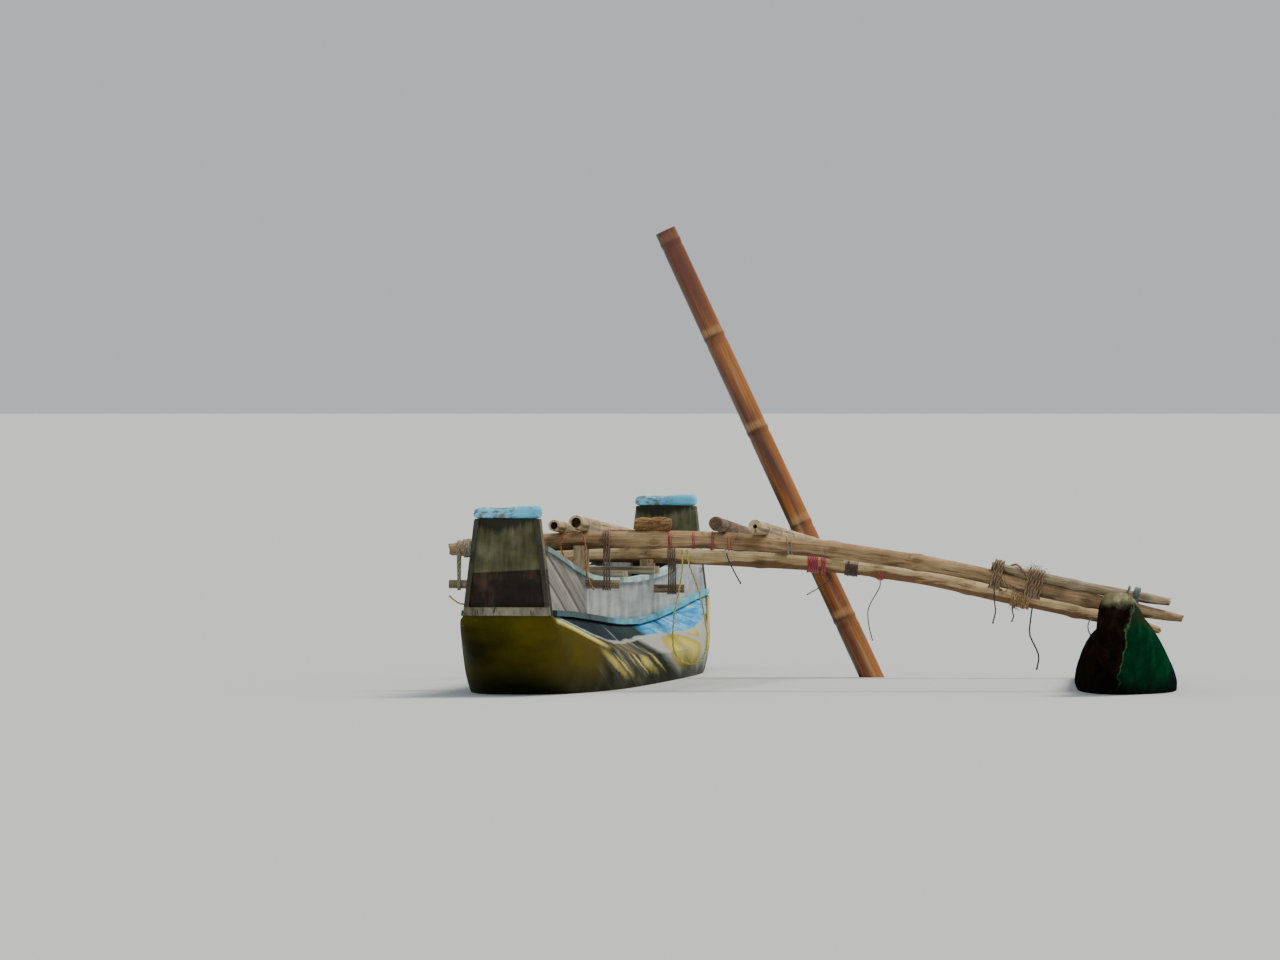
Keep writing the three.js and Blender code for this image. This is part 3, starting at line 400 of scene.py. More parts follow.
# The side's stripes are 125 mm wide, and the painted reflections of rippling water on its shoulder 36 mm
# apart; both are swept.
swing = node("Math.MULTIPLY_ADD", (height, SWEEP, marks["Y"]))
swept = node("Math.MULTIPLY_ADD", (broad, 0.3, swing))
drawn = node("CombineXYZ", (node("Math.MULTIPLY", (swing, 8.0)), node("Math.MULTIPLY", (height, 9.0))))
streak = node("TexNoise", {"Vector": drawn, "Scale": 1.0, "Detail": 4.0, "Roughness": 0.6})
stripes = node("ValToRGB", streak, ramp=[
    (0.34, "262b26"), (0.47, "48483a"), (0.58, "66644f"), (0.7, "a1a08a")])
# A dark band swept down and aft across the striped side is painted shadow cast by the booms and the load.
past = node("Math.SUBTRACT", (swept, SHADOW_BAND_PLACE))
shadow_banded = layer(node, stripes, node("Math.ABSOLUTE", past), 0.16, 0.08, 0.85, "171f26")
paled = layer(node, shadow_banded, past, 0.1, 0.3, 0.85, "a5acab")
leafed = layer(node, leaf, leaf_reach, 0.8, 1.1, 1.0, paled)
# The stems' yellow is painted dark olive as painted shade, and a little more golden on the starboard side as
# painted sunlight.
olive = node("ValToRGB", broad, ramp=[(0.3, "231f04"), (0.46, "38330a"), (0.6, "4a440e"), (0.74, "564c10")])
golden = layer(node, olive, spot["X"], 0.02, 0.2, 0.5, "5a4d0e")
length = node("Math.ABSOLUTE", marks["Y"])
stem_part = node("MapRange", (length, *STEM_OLIVE))
body = node("Mix", {0: stem_part, 6: leafed, 7: golden}, data_type="RGBA")
blue = node("ValToRGB", brush, ramp=[(0.3, "1f6ea6"), (0.46, "3289c2"), (0.58, "4fa6d8"), (0.72, "86c0dc")])
# Fine pale slanting lines on the blue are painted reflections of rippling water.
reflection_run = node("Mapping", {"Vector": drawn, "Scale": (3.5, 0.5, 1)})
reflection_lines = node("TexNoise", {"Vector": reflection_run, "Scale": 1.0, "Detail": 2.0})
glinting = layer(node, blue, reflection_lines, 0.62, 0.7, 0.75, "e4f0f2")
# The fore part of the blue shoulder is painted dark slate: painted shade under the booms and the load.
shaded_slate = node("ValToRGB", broad, ramp=[(0.3, "10191e"), (0.5, "1c282e"), (0.66, "2d3a3e"), (0.74, "8d9a9c")])
before_tip = node("MapRange", (length, 2.2, 2.14))
shaded_part = node("Math.MULTIPLY", (node("MapRange", (marks["Y"], *SHADED_SHOULDER_END)), before_tip))
shoulder = node("Mix", {0: shaded_part, 6: glinting, 7: shaded_slate}, data_type="RGBA")
over_line = node("Math.SUBTRACT", (height, node("MapRange", (length, *LINE_RUN))))
banded = layer(node, body, over_line, 0.003, 0.007, 1.0, shoulder)
line_paint = node("Mix", {0: stem_part, 6: "a4aaa8", 7: "8fb6d0"}, data_type="RGBA")
lined = layer(node, banded, node("Math.ABSOLUTE", over_line), 0.006, 0.0025, 0.7, line_paint)
# The pale line along the ridge near the stems is a painted highlight where the hull turns up to the light.
ridge = node("MapRange", (node("Math.ABSOLUTE", marks["X"]), 0.012, 0.002, 0.0, 0.9))
along_stem = node("Math.MULTIPLY", (node("MapRange", (length, 2.37, 2.33)), stem_part))
scuff_or_highlight = node("Math.MULTIPLY", (ridge, along_stem))
painted_light_edge = node("Mix", {0: scuff_or_highlight, 6: lined, 7: "d6cf7c"}, data_type="RGBA")
scuffed = layer(node, painted_light_edge, brush, 0.66, 0.76, 0.3, "a39c6a")
wet_edge = node("Math.MULTIPLY_ADD", (broad, -0.12, spot["Z"]))
weedy = layer(node, scuffed, wet_edge, 0.03, -0.045, 0.85, "1d200f")
bare_inside = node("ValToRGB", broad, ramp=[(0.3, "4b4437"), (0.5, "6f6a58"), (0.7, "7f8a86")])
both = node("Mix", {0: marks["Z"], 6: weedy, 7: bare_inside}, data_type="RGBA")
fine = node("TexNoise", {"Vector": place, "Scale": 160.0, "Detail": 3.0})
surface(shader, both, node("Math.MULTIPLY_ADD", (fine, 0.3, brush)), 0.4, 0.003,
        gloss=node("MapRange", (broad, 0.3, 0.7, 0.5, 0.75)))
hull_nodes = [name for name in nodes
              if name.endswith("_stem") or name.startswith(("bottom_", "bilge_", "shoulder_"))]
finish_piece(hull, "lower_hull", hull_enamel, "hull_paint", replaces=hull_nodes, sharp_deg=50)


# Floor. It is plain and pale, lies at the waterline, and is open where the hollow hull floats in it.
FLOOR_RADIUS = 400
FLOOR_SIDES = 96
HULL_AFLOAT = 2.02        # half length of the opening
floor_shape = bmesh.new()
bmesh.ops.create_circle(floor_shape, segments=FLOOR_SIDES, radius=FLOOR_RADIUS)
for vert in bmesh.ops.create_circle(floor_shape, segments=FLOOR_SIDES, radius=1)["verts"]:
    y = HULL_AFLOAT * vert.co.y
    ridge_half, ridge_z, keel_z = (read_line(HULL_LINES, i, HALF_LENGTH - abs(y)) for i in (3, 4, 5))
    sunk = (ridge_z / (ridge_z - keel_z)) ** BILGE_POWER
    half = ridge_half * max(0, 1 - sunk) ** (1 / BILGE_POWER) - HULL_WALL / 2
    vert.co = (math.copysign(half, vert.co.x) if abs(vert.co.x) > 0.05 else 0, y, 0)
bmesh.ops.bridge_loops(floor_shape, edges=[edge for edge in floor_shape.edges if not edge.link_faces])
floor_mesh = bpy.data.meshes.new("floor")
floor_shape.to_mesh(floor_mesh)
floor_shape.free()
floor_mesh.materials.append(new_finish("pale_matt_floor", Base_Color=paint("c3c9cc"), Roughness=0.9)[0])
floor = bpy.data.objects.new("floor", floor_mesh)
bpy.context.scene.collection.objects.link(floor)


# Side planks, gunwales and joint rails. Thin sawn planks are nailed on above the log, with a rail over
# the joint and a gunwale along the top, all brushed with thin house paint in grey, teal and turquoise.
PAINT_RELIEF = 0.0012     # thickness of several coats, in metres
BLOTCH = 0.35             # how much broad chalky patches weigh beside brush streaks
COAT_SPREAD = 0.16        # from the middle tone of a coat to its dark and its light one


def brushed_paint(name, coats, wood, wear, stretch, streak=0.5, grime="4a4a40", gloss=0.55):
    """House paint on wood: brush streaks, chalking, flakes down to the wood, and grime.

    Stretch is brush marks per metre across, along and up the canoe. Chalky patches are 125 mm wide,
    and wear goes from 0 to 1.
    """
    finish, node, shader = new_finish(name, Roughness=gloss, Specular_IOR_Level=0.15)
    place = node("TexCoord", out="Object")
    run = node("Mapping", {"Vector": place, "Scale": stretch})
    brush = node("TexNoise", {"Vector": run, "Scale": 1.0, "Detail": 7.0, "Roughness": 0.7})
    broad = node("TexNoise", {"Vector": place, "Scale": 8.0, "Detail": 4.0})
    flake = node("TexNoise", {"Vector": run, "Scale": 0.7, "Detail": 10.0, "Roughness": 0.8})
    tone = node("Math.MULTIPLY_ADD", (brush, streak, node("Math.MULTIPLY", (broad, BLOTCH))))
    middle = (BLOTCH + streak) / 2
    places = (middle - COAT_SPREAD, middle, middle + COAT_SPREAD)
    coat = node("ValToRGB", tone, ramp=list(zip(places, coats)))
    bare = node("MapRange", (flake, 0.72 - 0.3 * wear, 0.75 - 0.3 * wear))
    flaked = node("Mix", {0: bare, 6: coat, 7: wood}, data_type="RGBA")
    soiled = layer(node, flaked, broad, 0.6, 0.3, 0.3, grime)
    surface(shader, soiled, node("Math.MULTIPLY_ADD", (bare, -0.5, brush)), 0.6, PAINT_RELIEF)
    return finish


def coat_node(finish, *names):
    """Gives CAD nodes whose shape is right their finish."""
    for name in names:
        nodes[name].material_slots[0].material = finish


def reopen(finish):
    """What adds nodes to a finish that is already made, its shader, and its colour so far."""
    shader = finish.node_tree.nodes["Principled BSDF"]
    return functools.partial(add, finish.node_tree), shader, shader.inputs["Base Color"].links[0].from_socket


def weather_or_shade_part(finish, axis, first, last, dark, amount=1.0, scale=(9, 33, 4), ragged=0.0):
    """Mixes a weathered colour, or a painted shade, into a finish on one side of it, whole or in slanting
    streaks.

    Scale is those streaks per metre aft, down and across.
    """
    node, shader, coat = reopen(finish)
    spot = node("SeparateXYZ", node("TexCoord", out="Object")).node.outputs
    part = node("MapRange", (spot[axis], first, last, amount, 0.0))
    slant = node("Math.MULTIPLY_ADD", (spot["Z"], scale[1], node("Math.MULTIPLY", (spot["Y"], scale[0]))))
    run = node("CombineXYZ", (slant, node("Math.MULTIPLY", (spot["X"], scale[2]))))
    streak = node("TexNoise", {"Vector": run, "Scale": 1.0, "Detail": 5.0, "Roughness": 0.65})
    share = node("Math.MULTIPLY", (part, node("MapRange", (streak, ragged, ragged + 0.12))))
    mixed = node("Mix", {0: share, 6: coat, 7: dark}, data_type="RGBA")
    finish.node_tree.links.new(mixed, shader.inputs["Base Color"])


grey_plank = brushed_paint("thin_grey_paint_on_sawn_plank", ("74828c", "98a1a5", "b3b8b8"), "55524a", 0.4,
                           (60, 1.3, 18), streak=0.7)
weather_or_shade_part(grey_plank, "Y", -1.5, -1.4, "8b867b", amount=0.7)
weather_or_shade_part(grey_plank, "Y", -1.5, -1.4, "3a3630", amount=0.85, ragged=0.47)
coat_node(grey_plank, "side_plank_port", "side_plank_starboard")
teal_gunwale = brushed_paint("chalked_pale_teal_paint_on_gunwale", ("86b3b4", "a9cfcf", "d2dedb"),
                             "6b5d4a", 0.3, (50, 4, 50))
# The gunwales' fore part is painted darker grey as painted shade under the load.
weather_or_shade_part(teal_gunwale, "Y", -1.5, -1.3, "59676a", amount=0.8, ragged=0.35)
coat_node(teal_gunwale, "gunwale_port", "gunwale_starboard")
turquoise_rail = brushed_paint("turquoise_paint_on_joint_rail", ("1f7f9c", "49adc6", "74c4d6"),
                               "0f4f70", 0.35, (40, 3, 70))
# The joint rails are painted dark towards the bow as painted shade.
weather_or_shade_part(turquoise_rail, "Y", -1.0, -0.6, "222c31", amount=0.9)
coat_node(turquoise_rail, "joint_rail_port", "joint_rail_starboard")


# End boards. A thick upright board closes each end of the side planks: olive grey paint above, brown
# below, painted black under its cap as the cap's painted shadow, and framed by thin nailed strips of
# pale painted wood.
BOARD_TOP = 0.556
BOARD_SPLIT = 0.393       # height where the brown field ends
BOARD_SPLIT_SLOPE = 0.05
CAP_SHADOW_DEPTH = 0.088
CAP_SHADOW_MIDDLE = -0.03      # across the board, where the painted shadow runs lowest

board_paint, node, shader = new_finish("worn_two_colour_paint_on_end_board", Roughness=0.75,
                                       Specular_IOR_Level=0.25)
place = node("TexCoord", out="Object")
spot = node("SeparateXYZ", place).node.outputs
# Drips are 11 mm wide and 110 mm long, and the broad patches 70 mm wide.
fall = node("Mapping", {"Vector": place, "Scale": (90.0, 90.0, 9.0)})
drip = node("TexNoise", {"Vector": fall, "Scale": 1.0, "Detail": 7.0, "Roughness": 0.7})
broad = node("TexNoise", {"Vector": place, "Scale": 14.0, "Detail": 5.0})
tone = node("Math.MULTIPLY_ADD", (drip, 0.5, broad))
upper = node("ValToRGB", tone, ramp=[(0.56, "3c3c25"), (0.74, "545338"), (0.92, "6c684f")])
lower = node("ValToRGB", tone, ramp=[(0.56, "100b07"), (0.74, "22180f"), (0.95, "4a362a")])
lean = node("Math.MULTIPLY_ADD", (spot["X"], -BOARD_SPLIT_SLOPE, spot["Z"]))
fields = layer(node, lower, lean, BOARD_SPLIT - 0.002, BOARD_SPLIT + 0.002, 1.0, upper)
# Under the cap the board is painted black: the cap's painted shadow, its lower edge ragged like drips.
away = node("Math.ABSOLUTE", node("Math.SUBTRACT", (spot["X"], CAP_SHADOW_MIDDLE)))
edge = node("Math.MULTIPLY_ADD", (away, 0.3, BOARD_TOP - CAP_SHADOW_DEPTH))
ragged = node("Math.MULTIPLY_ADD", (drip, 0.05, edge))
cap_shadowed = layer(node, fields, node("Math.SUBTRACT", (spot["Z"], ragged)), 0.01, 0.03, 0.85, "16120f")
surface(shader, cap_shadowed, drip, 0.6, PAINT_RELIEF)
coat_node(board_paint, "bow_board", "stern_board")
frame_paint = brushed_paint("dirty_beige_paint_on_strips", ("4c4839", "7a7462", "9b947d"), "352e26", 0.55,
                            (60, 60, 20), grime="4b4436")
# The two upright strips have lost their paint to dark wood, and the foot strip keeps it.
weather_or_shade_part(frame_paint, "Z", 0.284, 0.276, "2c2a20", amount=0.86)
coat_node(frame_paint, "bow_frame", "stern_frame")


# Caps. A rounded block of soft wood is nailed over the top of each end board, and brushed light blue.
# Its edges are knocked, and the paint has flaked to grey undercoat where ropes are made fast.
CAP_ROUND = 0.017
CAP_WORN = 0.005          # how much lower its worn part is
CAP_WORN_SIDE = 0.028
cap_paint = brushed_paint("light_blue_gloss_on_cap", ("4fabd0", "6cc5e6", "96daf0"), "6f7a7c", 0.45,
                          (20, 20, 40), streak=0.4, grime="4d6c78", gloss=0.42)
weather_or_shade_part(cap_paint, "X", CAP_WORN_SIDE - 0.006, CAP_WORN_SIDE, "6f7673", scale=(70, 90, 45), ragged=0.46)
for word in ("bow", "stern"):
    low, high = (Vector(corner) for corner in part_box(word + "_cap"))
    cap = bmesh.new()
    bmesh.ops.create_cube(cap, size=1)
    bmesh.ops.transform(cap, verts=cap.verts, matrix=(
        Matrix.Translation((low + high) / 2) @ Matrix.Diagonal((high - low).to_4d())))
    bmesh.ops.bevel(cap, geom=cap.edges, offset=CAP_ROUND, affect="EDGES", segments=5, profile=0.5,
                    material=-1)
    bmesh.ops.subdivide_edges(cap, edges=cap.edges, cuts=3, use_grid_fill=True)
    for vert in cap.verts:
        knocked = 0.006 * max(0, noise.noise(vert.co * 22)) + 0.0025 * max(0, noise.noise(vert.co * 70))
        vert.co.z -= (knocked + CAP_WORN * (vert.co.x < CAP_WORN_SIDE)) * (vert.co.z > low.z + 0.01)
        vert.co.y += 0.002 * noise.noise(vert.co * 50)
    finish_piece(cap, word + "_cap_block", cap_paint, "cap_paint", replaces=[word + "_cap"])


# Thwarts, seat, chocks and tie bars. Rough-sawn planks lie from gunwale to gunwale, and short blocks
# with round seats raise the booms on the gunwales. All are bare wood, grey with salt and checked by sun.
def weathered_wood(name, tones, stretch, by_lay=False, checks=0.34):
    """Bare wood: long grain, grey patches 90 mm wide and dark checks.

    Stretch is grain marks per metre on the three axes. By its lay, a pole's grain follows its own
    length, and the first two numbers are then marks per radius round it.
    """
    finish, node, shader = new_finish(name, Roughness=0.82)
    place = node("TexCoord", out="Object")
    lay = node("Attribute", out="Vector", attribute_name="lay") if by_lay else place
    run = node("Mapping", {"Vector": lay, "Scale": stretch})
    grain = node("TexNoise", {"Vector": run, "Scale": 1.0, "Detail": 8.0, "Roughness": 0.72})
    broad = node("TexNoise", {"Vector": place, "Scale": 11.0, "Detail": 4.0})
    tone = node("Math.MULTIPLY_ADD", (broad, 0.5, grain))
    wood = node("ValToRGB", tone, ramp=list(zip((0.5, 0.68, 0.8, 0.95), tones)))
    thin = node("TexNoise", {"Vector": run, "Scale": 2.3, "Detail": 2.0})
    check = node("MapRange", (thin, checks - 0.03, checks, 0.85, 0.0))
    checked = node("Mix", {0: check, 6: wood, 7: "1d1813"}, data_type="RGBA")
    surface(shader, checked, node("Math.MULTIPLY_ADD", (check, -0.8, grain)), 0.8, 0.002)
    return finish


for look, tones, stretch, names in (
        ("grey_rough_sawn_plank", ("4b3f33", "7a6a56", "9a8c76", "b5aa96"), (3, 90, 90),
         ("fore_thwart", "aft_thwart", "seat_plank")),
        ("grey_hewn_chock", ("4a3a28", "7c6548", "a08a68", "b8a88c"), (60, 60, 14),
         [name for name in nodes if "_chock_" in name]),
        ("bare_stick_tie_bar", ("3f3226", "6d5c48", "94836a", "b3a68e"), (6, 90, 90),
         ("front_tie_bar", "rear_tie_bar"))):
    coat_node(weathered_wood(look, tones, stretch), *names)


# Booms. Two long peeled saplings cross the hull and bend down to the float, the front one lengthened by
# a thinner stick. They are bare and grey, with knots, dark scars and long splits, and broken at the tips.
FRONT_BOOM_Y = -1.4
REAR_BOOM_Y = 0.6
BOOM_STEP = 0.012
LUMP = 0.0022
SKIN_PROUD = 0.001        # how far the skin stands outside its solid, before its dents go in
BREAK_LENGTH = 0.05
KNOT_SPREAD = 0.018
KNOT_TURNS = (0.3, -0.2, 0.6, 0.1)
BOOMS = [
    # name, y, centre line and radius in metres, knots as (x, height), roughness of the two ends
    ("front_boom", FRONT_BOOM_Y,
     [(-.304, .448, .022), (-.12, .464, .027), (.181, .479, .027), (.501, .48, .026), (.822, .459, .026),
      (1.043, .433, .025), (1.337, .385, .023), (1.623, .316, .022), (1.9, .259, .02), (2.049, .231, .011)],
     [(-.03, .003), (.36, .004), (.63, .003), (.93, .004), (1.2, .003), (1.74, .003)], (0.9, 0.5)),
    ("front_boom_extension", FRONT_BOOM_Y,
     [(1.436, .399, .013), (1.623, .355, .016), (1.82, .316, .015), (2.012, .283, .013)],
     [(1.7, .002), (1.93, .002)], (0.3, 0.7)),
    ("rear_boom", REAR_BOOM_Y,
     [(-.3, .4, .023), (0, .409, .025), (.283, .402, .025), (.715, .378, .024), (1.039, .336, .024),
      (1.276, .283, .023), (1.453, .246, .022), (1.64, .206, .021), (1.838, .159, .013)],
     [(.12, .003), (.5, .003), (.9, .004), (1.19, .003), (1.55, .004)], (0.4, 0.9)),
]


def read_boom(rows, x):
    """A boom's centre height and radius at a place across the canoe, straight between its points."""
    i = next((i for i, row in enumerate(rows) if row[0] >= x), len(rows) - 1)
    low, high = rows[max(i, 1) - 1], rows[max(i, 1)]
    u = (x - low[0]) / (high[0] - low[0])
    return low[1] + (high[1] - low[1]) * u, low[2] + (high[2] - low[2]) * u


def roughen(bm, path, lump, breaks, seed=0.0):
    """Lumps a pole's skin inward and outward, and tears its two ends along the grain."""
    ends = (path[0], (path[0] - path[1]).normalized()), (path[-1], (path[-1] - path[-2]).normalized())
    lay = bm.verts.layers.float_vector["lay"]
    for vert in bm.verts:
        turn = vert[lay]
        spot = Vector((turn.x * 1.2, turn.y * 1.2, turn.z * 9 + seed))
        vert.co -= vert.normal * lump * (0.65 * noise.noise(spot) - 0.2)
        for (end, out), torn in zip(ends, breaks):
            near = 1 - (vert.co - end).length / BREAK_LENGTH
            if near > 0:
                grain = noise.noise(Vector((turn.x * 3.1, turn.y * 3.1, seed + 4)))
                vert.co -= out * torn * near * BREAK_LENGTH * (0.3 + 0.7 * grain)
                vert.co -= (vert.co - end - out * (vert.co - end).dot(out)) * near * torn * 0.35


def sapling(name, tones, bark, bark_from, patches, scars):
    """Peeled sapling wood: long grain, splits, knots' scars, and bark left on its underside."""
    finish = weathered_wood(name, tones, (5.5, 5.5, 9), by_lay=True, checks=0.315)
    node, shader, wood = reopen(finish)
    place = node("TexCoord", out="Object")
    lay = node("SeparateXYZ", node("Attribute", out="Vector", attribute_name="lay")).node.outputs
    # Strips of bark are 200 mm long and 38 mm wide, dark spots 38 mm, and the rough edge of a scar 8 mm.
    stretch = node("Mapping", {"Vector": place, "Scale": (5, 26, 26)})
    blotch = node("TexNoise", {"Vector": stretch, "Scale": 1.0, "Detail": 5.0})
    under = node("Math.MULTIPLY_ADD", (lay["Y"], -0.28, blotch))
    barked = layer(node, wood, under, bark_from, bark_from + 0.08, 0.9, bark)
    spots = node("TexNoise", {"Vector": place, "Scale": 26.0, "Detail": 3.0})
    scarred = layer(node, barked, spots, 0.6, 0.7, patches, "2a231d")
    fine = node("TexNoise", {"Vector": place, "Scale": 120.0, "Detail": 4.0})
    for scar in scars:
        drawn_out = node("VectorMath.MULTIPLY", (node("VectorMath.SUBTRACT", (place, scar)), (0.6, 1, 1.1)))
        torn = node("Math.MULTIPLY_ADD", (fine, 0.014, node("VectorMath.LENGTH", drawn_out)))
        ring = node("ValToRGB", torn, ramp=[(0.0085, 0.95), (0.0115, 0.35), (0.014, 0.5), (0.021, 0.0)])
        scarred = node("Mix", {0: ring, 6: scarred, 7: "241a10"}, data_type="RGBA")
    finish.node_tree.links.new(scarred, shader.inputs["Base Color"])
    return finish


BOOM_LOOKS = {
    # name, wood from dark to light, bark, where bark starts, how strong the dark patches are
    "front_boom": ("tan_peeled_sapling", ("5a442c", "8a6d49", "a5875f", "bda27c"), "54391f", 0.66, 0.5),
    "front_boom_extension": ("silver_thin_sapling", ("564a3a", "877659", "a59274", "bfae90"), "4b3a28",
                             0.68, 0.4),
    "rear_boom": ("pale_sapling_over_brown_bark", ("6b5030", "a98c60", "c0a679", "d6c39c"), "6a4526",
                  0.55, 0.4),
}
for name, y, rows, knots, breaks in BOOMS:
    boom = bmesh.new()
    path = smooth_path([(x, y, z) for x, z, r in rows], BOOM_STEP)
    radii = [read_boom(rows, point.x)[1] + SKIN_PROUD
             + sum(height * math.exp(-((point.x - x) / KNOT_SPREAD) ** 2) for x, height in knots)
             for point in path]
    run_ring(boom, path, radii, sides=28)
    bmesh.ops.recalc_face_normals(boom, faces=boom.faces)
    boom.normal_update()
    roughen(boom, path, LUMP, breaks, seed=len(name))
    scars = []
    for i, (x, height) in enumerate(knots):
        middle, radius = read_boom(rows, x)
        turn = KNOT_TURNS[i % len(KNOT_TURNS)]
        scars.append((x, y - radius * math.cos(turn), middle + radius * math.sin(turn)))
    finish_piece(boom, name + "_sapling", sapling(*BOOM_LOOKS[name], scars), "pole_wood", replaces=[name],
                 sharp_deg=60)


# Lashings and wraps. Rope is wound round boom and tie bar, or round two poles side by side, and hauled
# tight. The red is faded plastic twine, the brown is coir from coconut husk, with its hairs standing out.
WRAP_ROOM = 0.0016        # between a bar and the cord round it
TIE_RADIUS = 0.014
TIE_LASHINGS = [
    # name, boom, tie bar height, middle across the hull, width, cord diameter, turns, finish
    ("front_lashing_port", 0, .338, -.27, .014, .0045, 3, "pale"),
    ("front_lashing_starboard", 0, .338, .205, .03, .005, 3, "dark"),
    ("rear_lashing_port", 2, .296, -.205, .034, .005, 4, "dark"),
    ("rear_lashing_starboard", 2, .296, .205, .034, .005, 4, "dark"),
]
WRAPS = [
    # name, boom, other boom, ends across the canoe, cord diameter, room inside, finish,
    # groups of turns as (first, last, count) over half the width, and the count of slanting turns
    ("front_splice_wrap", 0, 1, 1.438, 1.612, .0075, .004, "coir", ((-1, -.6, 4), (.35, 1, 6)), 2),
    ("front_boom_end_wrap", 0, 0, -.258, -.212, .0045, .0016, "pale", ((-1, 1, 8),), 2),
    ("rear_boom_wrap", 2, 2, 1.336, 1.404, .006, .0016, "new_coir", ((-1, 1, 9),), 3),
    ("boom_grommet", 2, 2, .656, .724, .006, .0016, "red", ((-1, .2, 6), (.45, 1, 3)), 0),
    ("twine_binding_1", 0, 0, .194, .214, .003, .0006, "red", ((-1, 1, 4),), 0),
    ("twine_binding_2", 0, 0, .4, .418, .003, .0006, "red", ((-1, 1, 3),), 1),
    ("twine_binding_3", 0, 0, .477, .491, .003, .0006, "red", ((-1, 1, 2),), 0),
    ("twine_binding_4", 0, 0, .538, .554, .003, .0006, "red", ((-1, 1, 2),), 1),
    ("twine_binding_5", 0, 0, .586, .61, .003, .0006, "red", ((-1, 1, 2),), 0),
    ("twine_binding_6", 0, 0, .776, .804, .003, .0006, "pale", ((-1, 1, 2),), 1),
    ("twine_binding_7", 2, 2, .783, .83, .0035, .0006, "brown", ((-1, 1, 11),), 1),
    ("twine_binding_8", 2, 2, .892, .916, .0035, .0006, "red", ((-1, 1, 5),), 1),
]
CROSSING_LIFT = 0.8       # how high slanting turns ride over the others, in diameters
CROSSING_SWING = 0.86     # how far across the width they go
cord_finishes = {
    "red": (rope_yarn("faded_red_plastic_twine", "dd3f4c", "8a1c2a", .006, pitch=5, dust="d0707a"),
            "red_rope"),
    "pale": (rope_yarn("bleached_thin_line", "b8ae94", "6a604a", .0045), "pale_rope"),
    "coir": (rope_yarn("laid_coir_rope", "a88455", "5b3f20", .0085, dust="b79a6c"), "coir"),
    "dark": (rope_yarn("tarred_brown_line", "8a7252", "33261a", .005, dust="8f7d60"), "coir"),
    "new_coir": (rope_yarn("golden_new_coir_rope", "c79a58", "6e4a22", .006, dust="c9a870"), "coir"),
    "brown": (rope_yarn("dark_brown_binding_cord", "5e3c2c", "2a1710", .0035, dust="75523e"), "coir"),
    "grey": (rope_yarn("grey_green_net_line", "55625e", "1c2321", .0065, dust="8f9c9a"), "grey_rope"),
}


def band_outline(upper, lower, drop, step):
    """A closed run of points round two bars, one above the other, that starts underneath."""
    lean = math.asin((upper - lower) / drop) if drop > abs(upper - lower) else 0
    corners = []
    for radius, middle, first, last in (
            (lower, -drop, 1.5 * math.pi, 2 * math.pi + lean), (upper, 0, lean, math.pi - lean),
            (lower, -drop, math.pi - lean, 1.5 * math.pi)):
        turns = [first + (last - first) * i / 8 for i in range(9)]
        corners += [(radius * math.cos(turn), middle + radius * math.sin(turn)) for turn in turns]
    outline = []
    for low, high in zip(corners, corners[1:]):
        parts = max(1, round(math.dist(low, high) / step))
        outline += [(low[0] + (high[0] - low[0]) * i / parts, low[1] + (high[1] - low[1]) * i / parts)
                    for i in range(parts)]
    return outline


def wind(bm, place, upper, lower, drop, width, diameter, groups, crossing=0, lift=CROSSING_LIFT):
    """Winds cord round two bars in groups of turns side by side, and then in slanting turns over them."""
    half = width / 2 - diameter / 2
    for first, last, count in groups + ((0, 0, crossing),) * bool(crossing):
        slanting = first == last
        rise = diameter * (lift if slanting else 0.5)
        outline = band_outline(upper + rise, lower + rise, drop, diameter * 0.9)
        path = []
        for k in range(count * len(outline)):
            y, z = outline[k % len(outline)]
            u = k / (count * len(outline))
            shift = first + (last - first) * u
            if slanting:
                shift = -CROSSING_SWING * math.sin(math.pi * (2 * count - 1) * u + 0.6)
            slack = diameter * 0.15 * noise.noise(Vector((y * 40, z * 40, u * 9 + first)))
            path.append(place @ Vector((shift * half + slack, y, z)))
        run_ring(bm, path, [diameter / 2] * len(path), sides=8)


for name, boom_index, tie_height, middle, width, diameter, count, look in TIE_LASHINGS:
    y, rows = BOOMS[boom_index][1], BOOMS[boom_index][2]
    height, radius = read_boom(rows, middle)
    lashing = bmesh.new()
    wind(lashing, Matrix.Translation((middle, y, height)), radius + WRAP_ROOM, TIE_RADIUS + WRAP_ROOM,
         height - tie_height, width, diameter, ((-1, 1, count),))
    finish_piece(lashing, name + "_turns", *cord_finishes[look], replaces=[name], sharp_deg=70)

